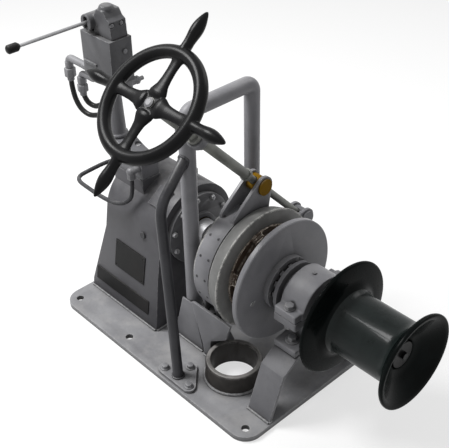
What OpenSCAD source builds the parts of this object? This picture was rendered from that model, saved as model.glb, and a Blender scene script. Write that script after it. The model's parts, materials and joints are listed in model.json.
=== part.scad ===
// Hydraulic anchor winch: deck plate, gear housing, band brake with handwheel, chain wheel and warping head.
// Millimetres. X runs along the main shaft towards the warping head, -Y is the operator's side, +Z is up.
// The origin is the middle of the underside of the deck plate.

/* [Deck plate] */
// Length of the deck plate along the shaft
base_l = 940; // [920:5:1000]
// Width of the deck plate
base_w = 680; // [660:5:720]
// Thickness of the deck plate
base_t = 18; // [14:1:24]
// Radius of the plate corners
base_r = 60; // [40:5:80]
// Distance from the plate edge to the deck bolt holes
hole_edge = 44; // [36:1:50]
// Diameter of the deck bolt holes
hole_d = 26; // [22:1:30]
// Distance of the inner deck holes from the middle
hole_mid = 141; // [120:1:160]

/* [Main shaft] */
// Height of the main shaft above the deck
shaft_z = 350; // [340:1:365]
// Diameter of the main shaft
shaft_d = 70; // [60:1:74]
// Running clearance of a shaft in its bush, on the radius
run_fit = 0.06; // [0.03:0.01:0.1]
// Gap between parts that turn past each other
part_gap = 1; // [0.5:0.1:2]

/* [Gear housing] */
// Radius of the round top of the housing
case_r = 155; // [150:1:160]
// Half width of the housing at its foot
case_foot_y = 212; // [200:1:225]
// Length of the housing foot along the shaft
case_foot_l = 359; // [340:1:370]
// Distance from the plate middle to the housing foot on the shaft side
case_foot_x = 99; // [95:1:110]
// Wall thickness of the housing
case_wall = 14; // [10:1:16]
// Amount that the end walls lean in towards the top
case_draft = 32; // [20:1:40]
// Radius of the round bearing cover
cover_r = 128; // [124:1:134]
// Thickness of the round bearing cover
cover_t = 16; // [12:1:20]
// Number of cover bolts
cover_bolts = 10; // [6:1:12]

/* [Gears] */
// Gear module
gear_m = 4.5; // [4.5:0.5:4.5]
// Teeth of the main gear
gear_n = 42; // [42:14:42]
// Teeth of the motor pinion
pinion_n = 14; // [14:1:14]
// Width of the main gear
gear_w = 50; // [30:1:60]
// Tooth backlash
backlash = 0.5; // [0.3:0.1:0.8]
// Angle of the pinion below the shaft, seen along the shaft
mesh_ang = -60; // [-60:1:-60]

/* [Hydraulic motor] */
// Radius of the motor body
motor_r = 52; // [48:1:54]
// Length of the motor body
motor_l = 165; // [140:5:170]
// Side of the square motor flange
motor_flange = 118; // [114:1:120]

/* [Brake] */
// Radius of the brake drum
drum_r = 172; // [168:1:174]
// Width of the brake band
band_w = 64; // [56:1:66]
// Thickness of the steel band
band_t = 8; // [6:0.5:9]
// Thickness of the brake lining
lining_t = 6.5; // [5:0.5:7.5]
// Gap between lining and drum with the brake off
brake_gap = 1.5; // [1:0.1:2]
// Middle of the band along the shaft
band_x = 119; // [117:1:121]
// Radius from the shaft to the band hinge pin
anchor_r = 208; // [206:1:212]
// Diameter of the band hinge pin
anchor_d = 20; // [16:1:22]
// Radius of the lug round the band hinge pin
anchor_lug = 17; // [15:0.5:18]

/* [Brake spindle and handwheel] */
// Angle of the spindle above level
spin_tilt = 47.2; // [47.2:0.1:47.2]
// Distance of the wheel hub in front of the shaft
hub_y = 330; // [325:1:335]
// Height of the wheel hub above the deck
hub_z = 1020; // [1010:1:1030]
// Diameter of the upper spindle
spindle_d = 32; // [30:1:33]
// Diameter of the threaded lower spindle
thread_d = 24; // [22:1:26]
// Distance from the hub to the front trunnion along the spindle
trunnion_a = 569; // [566:1:572]
// Outer radius of the handwheel rim
rim_r = 169; // [165:1:180]
// Thickness of the handwheel rim
rim_t = 34; // [24:1:34]
// Radius to the tips of the handles
tip_r = 281; // [260:1:290]

/* [Chain wheel] */
// Pitch radius of the chain on its wheel
chain_r = 134; // [132:1:137]
// Width of the chain wheel between its cheeks
chain_w = 68; // [62:1:68]
// Number of chain pockets
pockets = 6; // [6:1:6]
// Outside radius of the cheeks
cheek_r = 205; // [200:1:207]
// Outside face of the outer cheek along the shaft
cheek_x = 295; // [295:1:296]
// Outer radius of the chain pipe
pipe_r = 92; // [88:1:94]
// Wall of the chain pipe
pipe_t = 17; // [14:1:18]
// Height of the chain pipe above the plate
pipe_h = 70; // [60:1:76]

/* [Outer bearing] */
// Middle of the outer bearing along the shaft
post_x = 417; // [417:1:418]
// Width of the bearing trestle
post_w = 92; // [84:1:94]
// Radius of the bearing cap
cap_r = 98; // [94:1:102]

/* [Warping head] */
// Radius of the rope barrel
barrel_r = 98; // [92:1:102]
// Radius of the inner flange
head_r1 = 183; // [176:1:186]
// Radius of the outer flange
head_r2 = 151; // [146:1:156]
// Inner end of the warping head along the shaft
head_x0 = 476; // [476:1:480]
// Outer end of the warping head along the shaft
head_x1 = 800; // [790:1:810]

/* [Tube frame] */
// Diameter of the frame tube
tube_d = 51; // [48.3:0.1:52]
// Wall of the frame tube
tube_t = 4; // [3:0.5:5]
// Place of the frame along the shaft
frame_x = 19; // [17:1:21]
// Distance of the frame legs from the shaft
frame_y = 133; // [130:1:136]
// Height of the top tube
frame_z = 882; // [880:1:892]

/* [Control valve] */
// Length of the valve block
valve_l = 150; // [140:1:156]
// Depth of the valve block
valve_w = 85; // [80:1:90]
// Height of the valve block
valve_h = 150; // [140:1:156]
// Height of the top of the valve block
valve_z = 978; // [970:1:985]
// Length of the valve lever
lever_l = 290; // [270:1:300]
// Diameter of the lever rod
lever_d = 11; // [10:0.5:12]
// Diameter of the lever knob
knob_d = 28; // [26:1:34]

/* [Hidden] */
$fn = 96;

grey = [0.47, 0.47, 0.49];
dark = [0.16, 0.16, 0.17];
black = [0.08, 0.08, 0.09];
glossy = [0.10, 0.13, 0.12];
steel = [0.62, 0.62, 0.63];
brass = [0.72, 0.55, 0.25];
rust = [0.42, 0.30, 0.20];
lining_c = [0.35, 0.29, 0.24];

eps = 0.01;
// Clearance of a bolt in its hole, on the radius
bolt_fit = 0.5;
// Seat clearance between pressed or bolted pieces
seat = 0.05;

// Turns a flat drawing of Y and Z, or a piece along local Z, into world axes with its start at x
module along_x(x) translate([x, 0, 0]) rotate([90, 0, 90]) children();

// The same, with the middle on the main shaft
module on_shaft(x) translate([0, 0, shaft_z]) along_x(x) children();

// A tube along local z
module ring(r1, r0, h) difference() {
    cylinder(r = r1, h = h);
    translate([0, 0, -1]) cylinder(r = r0, h = h + 2);
}

// Two round ends joined by straight sides, drawn flat
function side(p, q, r1, r2) = let(d = q - p, l = norm(d), a = atan2(d[1], d[0]), b = acos((r1 - r2) / l))
    [for (s = [[p, r1, 1], [p, r1, -1], [q, r2, -1], [q, r2, 1]])
        s[0] + s[1] * [cos(a + s[2] * b), sin(a + s[2] * b)]];
module link(p, r1, q, r2) {
    polygon(side(p, q, r1, r2));
    translate(p) circle(r = r1);
    translate(q) circle(r = r2);
}

// A hexagon bolt head, pointing up from z = 0, with its shank below
module bolt(d, head, shank, washer = 0) {
    if (washer > 0) cylinder(d = washer, h = d * 0.18);
    up = washer > 0 ? d * 0.18 : 0;
    translate([0, 0, up]) cylinder(d = head, h = d * 0.65, $fn = 6);
    translate([0, 0, -shank]) cylinder(d = d, h = shank + up + eps);
}

// Smooth curve through hand chosen points
function knot(p, i) = p[max(0, min(len(p) - 1, i))];
function blend4(a, b, c, d, t) = 0.5 * (2 * b + (c - a) * t + (2 * a - 5 * b + 4 * c - d) * t * t
    + (3 * b - a - 3 * c + d) * t * t * t);
function smooth(p, n) = [for (i = [0:len(p) - 2]) for (k = [0:n - 1])
    blend4(knot(p, i - 1), p[i], p[i + 1], knot(p, i + 2), k / n), p[len(p) - 1]];

// One closed skin of rings carried along a path without twist
function unit(v) = v / norm(v);
function heading(p, i) = unit(p[min(i + 1, len(p) - 1)] - p[max(i - 1, 0)]);
function carry(n, t) = unit(n - (n * t) * t);
function normals(p, n0) = [for (i = 0, n = carry(n0, heading(p, 0)); i < len(p);
    i = i + 1, n = i < len(p) ? carry(n, heading(p, i)) : n) n];
function circle_at(c, n, t, ra, rb, sides) = let(b = cross(t, n))
    [for (k = [0:sides - 1]) c + ra * cos(360 * k / sides) * n + rb * sin(360 * k / sides) * b];
module sweep(p, ra, rb, n0, sides = 10) {
    ns = normals(p, n0);
    pts = [for (i = [0:len(p) - 1]) each circle_at(p[i], ns[i], heading(p, i), ra[i], rb[i], sides)];
    last = (len(p) - 1) * sides;
    faces = [[for (k = [0:sides - 1]) k],
        for (i = [0:len(p) - 2]) for (k = [0:sides - 1]) let(a = i * sides, b = (k + 1) % sides)
            each [[a + k, a + sides + k, a + b], [a + b, a + sides + k, a + sides + b]],
        [for (k = [sides - 1:-1:0]) last + k]];
    polyhedron(pts, faces, convexity = 6);
}
module hose(p, d, n0) sweep(p, [for (q = p) d / 2], [for (q = p) d / 2], n0, 10);

// Deck plate
hole_x = base_l / 2 - hole_edge;
hole_y = base_w / 2 - hole_edge;
pipe_x = 236;
pipe_y = -162;
deck_holes = [for (sx = [-1, 1], sy = [-1, 1]) [sx * hole_x, sy * hole_y]];
mid_holes = [[-hole_mid, -hole_y], [-hole_mid, hole_y], [hole_mid, hole_y]];
stay_foot = [122, -302];
stay_bolt_d = 16;
stay_bolt_at = [[-56, -8], [60, -8], [0, 52]];
module rounded_plate(l, w, r) {
    square([l - 2 * r, w], center = true);
    square([l, w - 2 * r], center = true);
    for (sx = [-1, 1], sy = [-1, 1]) translate([sx * (l / 2 - r), sy * (w / 2 - r)]) circle(r = r);
}
module deck_plate() color(grey) difference() {
    linear_extrude(base_t) rounded_plate(base_l, base_w, base_r);
    for (p = concat(deck_holes, mid_holes)) translate([p[0], p[1], -1]) cylinder(d = hole_d, h = base_t + 2);
    translate([pipe_x, pipe_y, -1]) cylinder(r = pipe_r + seat, h = base_t + 2);
    for (p = stay_bolt_at) translate([stay_foot[0] + p[0], stay_foot[1] + p[1], -1])
        cylinder(d = stay_bolt_d + 2 * bolt_fit, h = base_t + 2);
}

// Chain pipe through the plate, with its weld bead
weld = 7;
module chain_pipe() color(grey) translate([pipe_x, pipe_y, 0]) difference() {
    union() {
        cylinder(r = pipe_r, h = base_t + pipe_h - 4);
        translate([0, 0, base_t + pipe_h - 4]) cylinder(r1 = pipe_r, r2 = pipe_r - 4, h = 4, $fn = 96);
        translate([0, 0, base_t]) cylinder(r1 = pipe_r + weld, r2 = pipe_r, h = weld, $fn = 96);
    }
    translate([0, 0, -1]) cylinder(r = pipe_r - pipe_t, h = base_t + pipe_h + 2);
}

// Gear housing: a round top with straight sides that run out to a wide foot
case_x1 = -case_foot_x;
case_x0 = case_x1 - case_foot_l;
top_x0 = case_x0 + case_draft + 26;
top_x1 = case_x1 - 12;
slope_z = shaft_z - base_t;
foot_d = norm([case_foot_y, slope_z]);
lean = atan2(case_foot_y, slope_z) - asin(case_r / foot_d);
function case_pts(r, foot, z0) = [[-foot, z0], [foot, z0], [r * cos(lean), shaft_z + r * sin(lean)],
    [-r * cos(lean), shaft_z + r * sin(lean)]];
module case_shape(r, foot, z0) {
    polygon(case_pts(r, foot, z0));
    translate([0, shaft_z]) circle(r = r);
}
breather_at = [-170, 44];
drum_side_hole = 102;
bolt_circle = 113;
cover_bolt_d = 10;
pinion_dist = gear_m * (gear_n + pinion_n) / 2;
pinion_y = pinion_dist * cos(mesh_ang);
pinion_z = shaft_z + pinion_dist * sin(mesh_ang);
pilot_r = 41;
left_bore = 47;
motor_bolt_r = 68;
plinth = [215, 72];
plinth_at = [-349.5, -70];
plinth_z = 612;
case_top = 514;
plinth_bolt_at = [[-335, -92], [-335, -48]];
plinth_side = -250;
// Height of the bolt seats on the sloping shoulder
plinth_seat = plinth_z - 27;
pipe_z = 556;
module case_solid() intersection() {
    along_x(case_x0) linear_extrude(case_foot_l) case_shape(case_r, case_foot_y, base_t);
    translate([0, case_foot_y + 1, 0]) rotate([90, 0, 0]) linear_extrude(2 * case_foot_y + 2)
        polygon([[case_x0, base_t], [case_x1, base_t], [case_x1, base_t + 24], [top_x1,
            shaft_z - case_r + 20],
            [top_x1, shaft_z + case_r + 1], [top_x0, shaft_z + case_r + 1], [top_x0, shaft_z - 60],
            [case_x0, base_t + 30]]);
}
module gear_housing() color(grey) difference() {
    union() {
        case_solid();
        // Raised boss under the plinth
        difference() {
            translate([top_x0, plinth_at[1] - plinth[1] / 2 - 2, shaft_z + 60])
                cube([plinth_side + 2 - top_x0, plinth[1] + 4, case_top - shaft_z - 60]);
            on_shaft(case_x0) cylinder(r = case_r - 1, h = case_foot_l);
        }
        // Inspection pad on the shoulder
        on_shaft(-206) rotate([0, 0, 126]) translate([case_r - 12, -36, 0]) cube([18, 72, 62]);
        // Round end face that carries the cover
        on_shaft(top_x1 - 30) cylinder(r = case_r, h = 30);
    }
    // Inside
    along_x(top_x0 + case_wall) linear_extrude(top_x1 - top_x0 - 2 * case_wall)
        case_shape(case_r - case_wall, case_foot_y - case_wall - 4, base_t + case_wall);
    // Opening for the main gear, closed by the round cover
    on_shaft(top_x1 - case_wall - 10) cylinder(r = drum_side_hole, h = 60);
    for (k = [0:cover_bolts - 1]) on_shaft(top_x1 - 16) rotate([0, 0, 22 + k * 360 / cover_bolts])
        translate([bolt_circle, 0, 0]) cylinder(d = cover_bolt_d + 2 * bolt_fit, h = 40);
    // Shaft bearing and motor pilot in the far wall
    on_shaft(top_x0 - 60) cylinder(r = left_bore, h = 90);
    translate([0, pinion_y, pinion_z]) along_x(case_x0 - 2) cylinder(r = pilot_r + seat, h = 100);
    translate([0, pinion_y, pinion_z]) along_x(case_x0 - 2) translate([-motor_flange / 2 - 2,
        -motor_flange / 2 - 2, 0])
        cube([motor_flange + 4, motor_flange + 4, top_x0 - case_x0 + 2 - 4]);
    for (k = [0:3]) translate([0, pinion_y, pinion_z]) along_x(top_x0 - 5) rotate([0, 0, 45 + 90 * k])
        translate([motor_bolt_r, 0, 0]) cylinder(d = 12, h = case_wall - 2);
    // Plinth bolt holes and the breather
    for (p = plinth_bolt_at) translate([p[0], p[1], case_top - 28]) cylinder(d = 13, h = 30);
    translate([breather_at[0], breather_at[1], shaft_z + 100]) cylinder(d = 24 + 2 * seat, h = 80);
}

// Round cover and its seal ring on the brake side
cover_hub = 62;
module shaft_cover() color(dark) difference() {
    union() {
        on_shaft(top_x1 + seat) cylinder(r = cover_r, h = cover_t);
        on_shaft(top_x1 + seat) cylinder(r = cover_hub, h = cover_t + 12);
        on_shaft(top_x1 - 26) cylinder(r = drum_side_hole - seat, h = 26 + 2 * seat);
    }
    on_shaft(top_x1 - 30) cylinder(r = left_bore, h = 90);
    on_shaft(top_x1 - 30) cylinder(r = drum_side_hole - 26, h = 12);
    for (k = [0:cover_bolts - 1]) on_shaft(top_x1 - 1) rotate([0, 0, 22 + k * 360 / cover_bolts])
        translate([bolt_circle, 0, 0]) cylinder(d = cover_bolt_d + 2 * bolt_fit, h = 40);
}
module cover_screws() for (k = [0:cover_bolts - 1])
    on_shaft(top_x1 + seat + cover_t) rotate([0, 0, 22 + k * 360 / cover_bolts])
        translate([bolt_circle, 0, 0]) bolt(cover_bolt_d, 17, cover_t + 12, 20);

// Cap over the far end of the shaft
shaft_x0 = top_x0 + 2;
end_cap_r = 52;
module case_end_cap() color(grey) on_shaft(0) {
    translate([0, 0, top_x0 - 14]) ring(end_cap_r, left_bore - 12, 14 - seat);
    translate([0, 0, top_x0 - 22]) cylinder(r = 48, h = 8 + seat);
}

// Breather, sight glass in front and drain plug at the rear
sight_z = 346;
drain_z = 52;
module case_fittings() color(steel) {
    translate([breather_at[0], breather_at[1], shaft_z + case_r - 22]) cylinder(d = 24, h = 32);
    translate([breather_at[0], breather_at[1], shaft_z + case_r + 10]) cylinder(d = 34, h = 14);
    translate([-200, (sight_z - base_t) * tan(lean) - case_foot_y, sight_z]) rotate([90 - lean, 0, 0])
        cylinder(r = 12, h = 6);
    translate([-430, case_foot_y - (drain_z - base_t) * tan(lean), drain_z]) rotate([lean - 90, 0, 0])
        cylinder(r = 12, h = 7);
}

// Bronze bushes in both ends of the housing
bush_r = left_bore;
module case_bush() color(brass) {
    on_shaft(top_x0 + seat) ring(bush_r - seat, shaft_d / 2 + run_fit, case_wall + 26);
    on_shaft(top_x1 - 18) ring(bush_r - seat, shaft_d / 2 + run_fit, 40);
}

// Bare plate and bare raised strip on the sloping front
plate = [158, 106];
module name_plate() color(steel) translate([0, -case_foot_y, base_t]) rotate([-lean, 0, 0]) {
    translate([-338, -3, 146]) difference() {
        cube([plate[0], 3 - seat, plate[1]]);
        for (x = [10, plate[0] - 10], z = [10, plate[1] - 10]) translate([x, -1, z]) rotate([-90, 0, 0])
            cylinder(d = 5, h = 6);
    }
    translate([-436, -3, 42]) cube([290, 3 - seat, 52]);
}

// Plinth that carries the control valve, with a shoulder for the pipe
module valve_plinth() color(grey) difference() {
    translate([0, plinth_at[1] + plinth[1] / 2, 0]) rotate([90, 0, 0]) linear_extrude(plinth[1])
        polygon([[plinth_at[0] - plinth[0] / 2, plinth_z], [plinth_at[0] - plinth[0] / 2, plinth_z - 46],
            [top_x0 - 2, case_top + seat], [plinth_side, case_top + seat], [plinth_side, pipe_z + 16],
            [plinth_side - 70, plinth_z - 22], [plinth_side - 122, plinth_z]]);
    // Hollow from behind, with a wall left under the top
    translate([plinth_at[0] - 48, plinth_at[1] - 20, case_top + 14]) cube([52, 80, plinth_z - case_top - 46]);
    for (p = plinth_bolt_at) {
        translate([p[0], p[1], case_top - 1]) cylinder(d = 13, h = 250);
        translate([p[0], p[1], plinth_seat]) cylinder(d = 22, h = 40);
    }
}
module plinth_screws() for (p = plinth_bolt_at)
    translate([p[0], p[1], plinth_seat]) bolt(12, 19, plinth_seat - case_top + 26);

// Main shaft, in steps towards the warping head
shaft_x1 = head_x1 - 70;
key_w = 18;
key_h = 6;
gear_x = -300;
module main_shaft() color(steel) difference() {
    union() {
        on_shaft(shaft_x0) cylinder(d = shaft_d, h = shaft_x1 - shaft_x0);
        on_shaft(gear_x + gear_w + 1) cylinder(d = shaft_d + 18, h = 12);
        on_shaft(top_x1 + cover_t + 16) cylinder(d = shaft_d + 18, h = 40);
    }
    on_shaft(gear_x - 2) translate([shaft_d / 2 - key_h, -key_w / 2, 0]) cube([key_h + 9, key_w, gear_w + 3]);
    on_shaft(311) for (s = [0, 180]) rotate([0, 0, s]) translate([shaft_d / 2 - key_h, -key_w / 2, 0])
        cube([key_h + 9, key_w, 56]);
    on_shaft(head_x0 + 30) translate([shaft_d / 2 - key_h, -key_w / 2, 0]) cube([key_h + 9, key_w, 120]);
    on_shaft(shaft_x1 - 40) cylinder(d = 16, h = 60);
}
module shaft_keys() color(steel) {
    on_shaft(gear_x - 1) translate([shaft_d / 2 - key_h + seat, -key_w / 2 + seat, 0])
        cube([key_h + 4.9, key_w - 2 * seat, gear_w + 1]);
    on_shaft(312) for (s = [0, 180]) rotate([0, 0, s]) translate([shaft_d / 2 - key_h + seat,
        -key_w / 2 + seat, 0])
        cube([key_h + 4.9, key_w - 2 * seat, 54]);
    on_shaft(head_x0 + 31) translate([shaft_d / 2 - key_h + seat, -key_w / 2 + seat, 0])
        cube([key_h + 4.9, key_w - 2 * seat, 118]);
}

// Involute spur gears
function inv(a) = tan(a) * 180 / PI - a;
function roll(rb, r) = acos(min(1, rb / r));
function flank(rb, r, half) = let(a = roll(rb, r)) half - inv(a);
function tooth(m, n, play) = let(r = m * n / 2, rb = r * cos(20), ra = r + 0.9 * m, rf = r - 1.25 * m,
    half = 90 / n - play / 2 / r * 180 / PI + inv(20), r0 = max(rb, rf + 0.2),
    rs = [for (i = [0:5]) r0 + (ra - r0) * i / 5], foot = flank(rb, r0, half))
    concat([rf * [cos(foot), -sin(foot)]],
        [for (q = rs) q * [cos(flank(rb, q, half)), -sin(flank(rb, q, half))]],
        [for (i = [5:-1:0]) rs[i] * [cos(flank(rb, rs[i], half)), sin(flank(rb, rs[i], half))]],
        [rf * [cos(foot), sin(foot)]]);
function gear_outline(m, n, play) = [for (k = [0:n - 1]) for (p = tooth(m, n, play))
    [p[0] * cos(k * 360 / n) - p[1] * sin(k * 360 / n), p[0] * sin(k * 360 / n) + p[1] * cos(k * 360 / n)]];
module main_gear() color(steel) difference() {
    on_shaft(gear_x) rotate([0, 0, mesh_ang]) linear_extrude(gear_w) polygon(gear_outline(gear_m, gear_n,
        backlash));
    on_shaft(gear_x - 1) cylinder(d = shaft_d + 2 * seat, h = gear_w + 2);
    on_shaft(gear_x - 1) translate([0, -key_w / 2, 0]) cube([shaft_d / 2 + 5, key_w, gear_w + 2]);
    for (x = [gear_x - 1, gear_x + gear_w - 12]) on_shaft(x) ring(78, 58, 13);
}

// Hydraulic motor on the far wall
motor_x = top_x0 - 5;
module hydraulic_motor() color(dark) translate([0, pinion_y, pinion_z]) difference() {
    union() {
        along_x(motor_x + 1 - 18) translate([-motor_flange / 2, -motor_flange / 2, 0])
            cube([motor_flange, motor_flange, 18]);
        along_x(motor_x - 18) cylinder(r = pilot_r, h = 18 + 12);
        along_x(motor_x - 17 - motor_l) cylinder(r = motor_r, h = motor_l + 1);
        along_x(motor_x - 17 - motor_l) translate([-36, motor_r - 20, 10]) cube([72, 40, 62]);
        along_x(motor_x - 17 - motor_l - 10) cylinder(r = motor_r - 14, h = 11);
    }
    along_x(motor_x - 60) cylinder(d = 32, h = 80);
    // Corner cut clear of the cap over the shaft end
    translate([0, -pinion_y, shaft_z - pinion_z]) along_x(motor_x - 30) cylinder(r = end_cap_r + 1, h = 40);
    for (k = [0:3]) along_x(motor_x - 20) rotate([0, 0, 45 + 90 * k]) translate([motor_bolt_r, 0, 0])
        cylinder(d = 13, h = 30);
    for (y = [-18, 18]) along_x(motor_x - 17 - motor_l + 41) translate([y, motor_r + 8, 0]) rotate([-90,
        0, 0])
        cylinder(d = 18, h = 20);
}
module motor_screws() for (k = [0:3]) translate([0, pinion_y, pinion_z]) along_x(motor_x - 17)
    rotate([0, 0, 45 + 90 * k]) translate([motor_bolt_r, 0, 0]) rotate([180, 0, 0]) bolt(11, 18, 26, 0);
module case_bolts() color(steel) {
    cover_screws();
    plinth_screws();
    motor_screws();
}
module pinion() color(steel) difference() {
    union() {
        translate([0, pinion_y, pinion_z]) along_x(gear_x - 4) rotate([0, 0, mesh_ang + 180 + 180 / pinion_n])
            linear_extrude(gear_w + 8) polygon(gear_outline(gear_m, pinion_n, backlash));
        translate([0, pinion_y, pinion_z]) along_x(motor_x - 58)
            cylinder(d = 32 - 2 * run_fit, h = gear_x - motor_x + 58);
    }
}

// Brake drum, free to turn on its bushes
gyp_bush_r = 44;
module drum_bushes() color(brass) for (x = [[75, 50], [255, 55]])
    on_shaft(x[0]) ring(gyp_bush_r - seat, shaft_d / 2 + run_fit, x[1]);
flange_x = 155;
gyp_x = 207;
cone_r0 = 190;
cone_r1 = 206;
drum_pts = [[75, gyp_bush_r], [gyp_x, gyp_bush_r], [gyp_x, 62], [168, 62], [168, 150], [gyp_x, 150],
    [gyp_x, cone_r1], [flange_x, cone_r0], [flange_x, drum_r], [83, drum_r], [83, 180], [75, 180],
    [75, drum_r - 14], [150, drum_r - 14], [150, 62], [75, 62]];
// Turns [distance along the shaft, radius] points into a solid round the shaft
module turned(pts) on_shaft(0) rotate_extrude() polygon([for (p = pts) [p[1], p[0]]]);
module brake_drum() color(steel) turned(drum_pts);

// Chain wheel with six link pockets and a groove for the upright links
link_d = 17.5;
whelp_r = chain_r + 12;
wheel_pts = [[gyp_x + seat, gyp_bush_r], [gyp_x + chain_w, gyp_bush_r], [gyp_x + chain_w, whelp_r + 16],
    [gyp_x + chain_w - 6, whelp_r + 9], [gyp_x + chain_w - 10, whelp_r], [gyp_x + 10, whelp_r],
    [gyp_x + 6, whelp_r + 6], [gyp_x + seat, whelp_r + 8]];
module chain_wheel() color(rust) difference() {
    turned(wheel_pts);
    on_shaft(gyp_x + chain_w / 2 - link_d * 0.7) ring(220, chain_r - 1.8 * link_d, link_d * 1.4);
    for (k = [0:pockets - 1]) on_shaft(gyp_x + 4) rotate([0, 0, 15 + k * 360 / pockets])
        translate([chain_r - link_d * 0.6, -3.1 * link_d, 0]) cube([80, 6.2 * link_d, chain_w - 8]);
}

// Outer cheek, the ring with the clutch recesses and its screws
dog_n = 12;
dog_r0 = 50;
dog_r1 = 75;
dog_l = 18;
ring_r = 90;
screw_r = 82;
module outer_cheek() color(grey) difference() {
    turned([[gyp_x + chain_w + seat, gyp_bush_r], [cheek_x, gyp_bush_r], [cheek_x, cheek_r - 3],
        [cheek_x - 3, cheek_r],
        [cheek_x - 17, cheek_r], [gyp_x + chain_w + seat, cheek_r - 3]]);
    for (k = [0:5]) on_shaft(cheek_x - 14) rotate([0, 0, 60 * k]) translate([screw_r, 0, 0])
        cylinder(d = 9, h = 20);
}
module clutch_ring() color(grey) difference() {
    on_shaft(cheek_x + seat) ring(ring_r, dog_r0 - 4, dog_l);
    for (k = [0:dog_n - 1]) on_shaft(cheek_x - 1) rotate([0, 0, k * 360 / dog_n])
        translate([dog_r0 - 5, -9, 0]) cube([dog_r1 - dog_r0 + 6, 18, dog_l + 4]);
    for (k = [0:5]) on_shaft(cheek_x - 1) rotate([0, 0, 60 * k]) translate([screw_r, 0, 0])
        cylinder(d = 9, h = 30);
    for (k = [0:5]) on_shaft(cheek_x + dog_l - 9) rotate([0, 0, 60 * k]) translate([screw_r, 0, 0])
        cylinder(d = 14.2, h = 30);
}
module cheek_bolts() color(steel) for (k = [0:5]) on_shaft(cheek_x - 12) rotate([0, 0, 60 * k])
    translate([screw_r, 0, 0]) {
        cylinder(d = 8, h = 16 + dog_l - 12);
        translate([0, 0, dog_l + 3 + 2 * seat]) cylinder(d = 13, h = 8);
    }

// Sliding clutch sleeve on the keys, drawn out of mesh
sleeve_x = cheek_x + dog_l + 2;
sleeve_l = 34;
sleeve_r = 88;
module clutch_sleeve() color(grey) difference() {
    union() {
        turned([[sleeve_x + dog_l, shaft_d / 2 + run_fit], [sleeve_x + dog_l + sleeve_l,
            shaft_d / 2 + run_fit],
            [sleeve_x + dog_l + sleeve_l, 75], [sleeve_x + dog_l + 24, 75], [sleeve_x + dog_l + 24, 62],
            [sleeve_x + dog_l + 12, 62], [sleeve_x + dog_l + 12, sleeve_r], [sleeve_x + dog_l, sleeve_r]]);
        for (k = [0:dog_n - 1]) on_shaft(sleeve_x) rotate([0, 0, k * 360 / dog_n]) translate([dog_r0 + 1,
            -7.5, 0])
            cube([dog_r1 - dog_r0 - 3, 15, dog_l + eps]);
    }
    for (s = [0, 180]) on_shaft(sleeve_x) rotate([0, 0, s]) translate([0, -key_w / 2 - 0.2, 0])
        cube([shaft_d / 2 + 6, key_w + 0.4, 80]);
}

// Brake band halves: each has two ears for its trunnion and two knuckles on the hinge pin
band_r1 = drum_r + brake_gap + lining_t + band_t;
band_r0 = band_r1 - band_t;
band_x0 = band_x - band_w / 2;
ear_t = 10;
anchor_a = 232;
pin_r = 27;
ear_r = 34;
fork_mid = 90 - spin_tilt;
front_end = 68;
function polar(r, a) = [r * cos(a), shaft_z + r * sin(a)];
function spin_at(s) = [s * cos(spin_tilt) - hub_y, hub_z - s * sin(spin_tilt)];
// The rear trunnion mirrors the front one about the foot of the shaft on the spindle
spin_foot = hub_y * cos(spin_tilt) + (hub_z - shaft_z) * sin(spin_tilt);
trunnion_b = 2 * spin_foot - trunnion_a;
tr_a = spin_at(trunnion_a);
tr_b = spin_at(trunnion_b);
hinge = polar(anchor_r, anchor_a);
module sector(r1, r0, a0, a1) translate([0, shaft_z]) difference() {
    circle(r = r1);
    circle(r = r0);
    for (q = [0:11]) let(b = a1 + (a0 + 360 - a1) * q / 12, c = a1 + (a0 + 360 - a1) * (q + 1) / 12)
        polygon([[0, 0], 1.3 * r1 * [cos(b), sin(b)], 1.3 * r1 * [cos(c), sin(c)]]);
}
module flip_fork() translate([0, shaft_z]) rotate(fork_mid) mirror([0, 1]) rotate(-fork_mid)
    translate([0, -shaft_z]) children();
module ear() difference() {
    union() {
        polygon([tr_a + ear_r * [-0.636, 0.772], [-62, 548], [-74, 536], [-74, 480], [70, 480], [80, 538],
            tr_a + ear_r * [0.973, -0.233]]);
        translate(tr_a) circle(r = ear_r);
    }
    translate([0, shaft_z]) circle(r = band_r1 - 3);
    translate(tr_a) circle(r = pin_r + seat);
}
module band_half(a0, a1, knuckle_a, lug_x, flip) difference() {
    union() {
        along_x(band_x0) linear_extrude(band_w) sector(band_r1, band_r0, a0, a1);
        for (x = [band_x0, band_x0 + band_w - ear_t]) along_x(x) linear_extrude(ear_t)
            if (flip) flip_fork() ear(); else ear();
        for (x = lug_x) along_x(x) linear_extrude(ear_t) difference() {
            link(hinge, anchor_lug - 1.5, polar(band_r1 - 4, knuckle_a), 4);
            translate([0, shaft_z]) circle(r = band_r0 + 1);
        }
    }
    translate([0, hinge[0], hinge[1]]) along_x(0) cylinder(d = anchor_d + 0.2, h = 300);
}
lug_out = [band_x0, band_x0 + band_w - ear_t];
lug_in = [band_x0 + ear_t + 1, band_x0 + band_w - 2 * ear_t - 1];
rear_end = 2 * fork_mid - front_end;
module band_front() color(grey) band_half(front_end, anchor_a - 4, anchor_a - 18, lug_out, false);
module band_rear() color(grey) band_half(anchor_a + 4, rear_end + 360, anchor_a + 18, lug_in, true);
module lining(a0, a1) color(lining_c) along_x(band_x0 + 2) linear_extrude(band_w - 4)
    sector(band_r0 - seat, band_r0 - lining_t, a0, a1);
module lining_front() lining(front_end + 2, anchor_a - 7);
module lining_rear() lining(anchor_a + 7, rear_end + 358);

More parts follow.
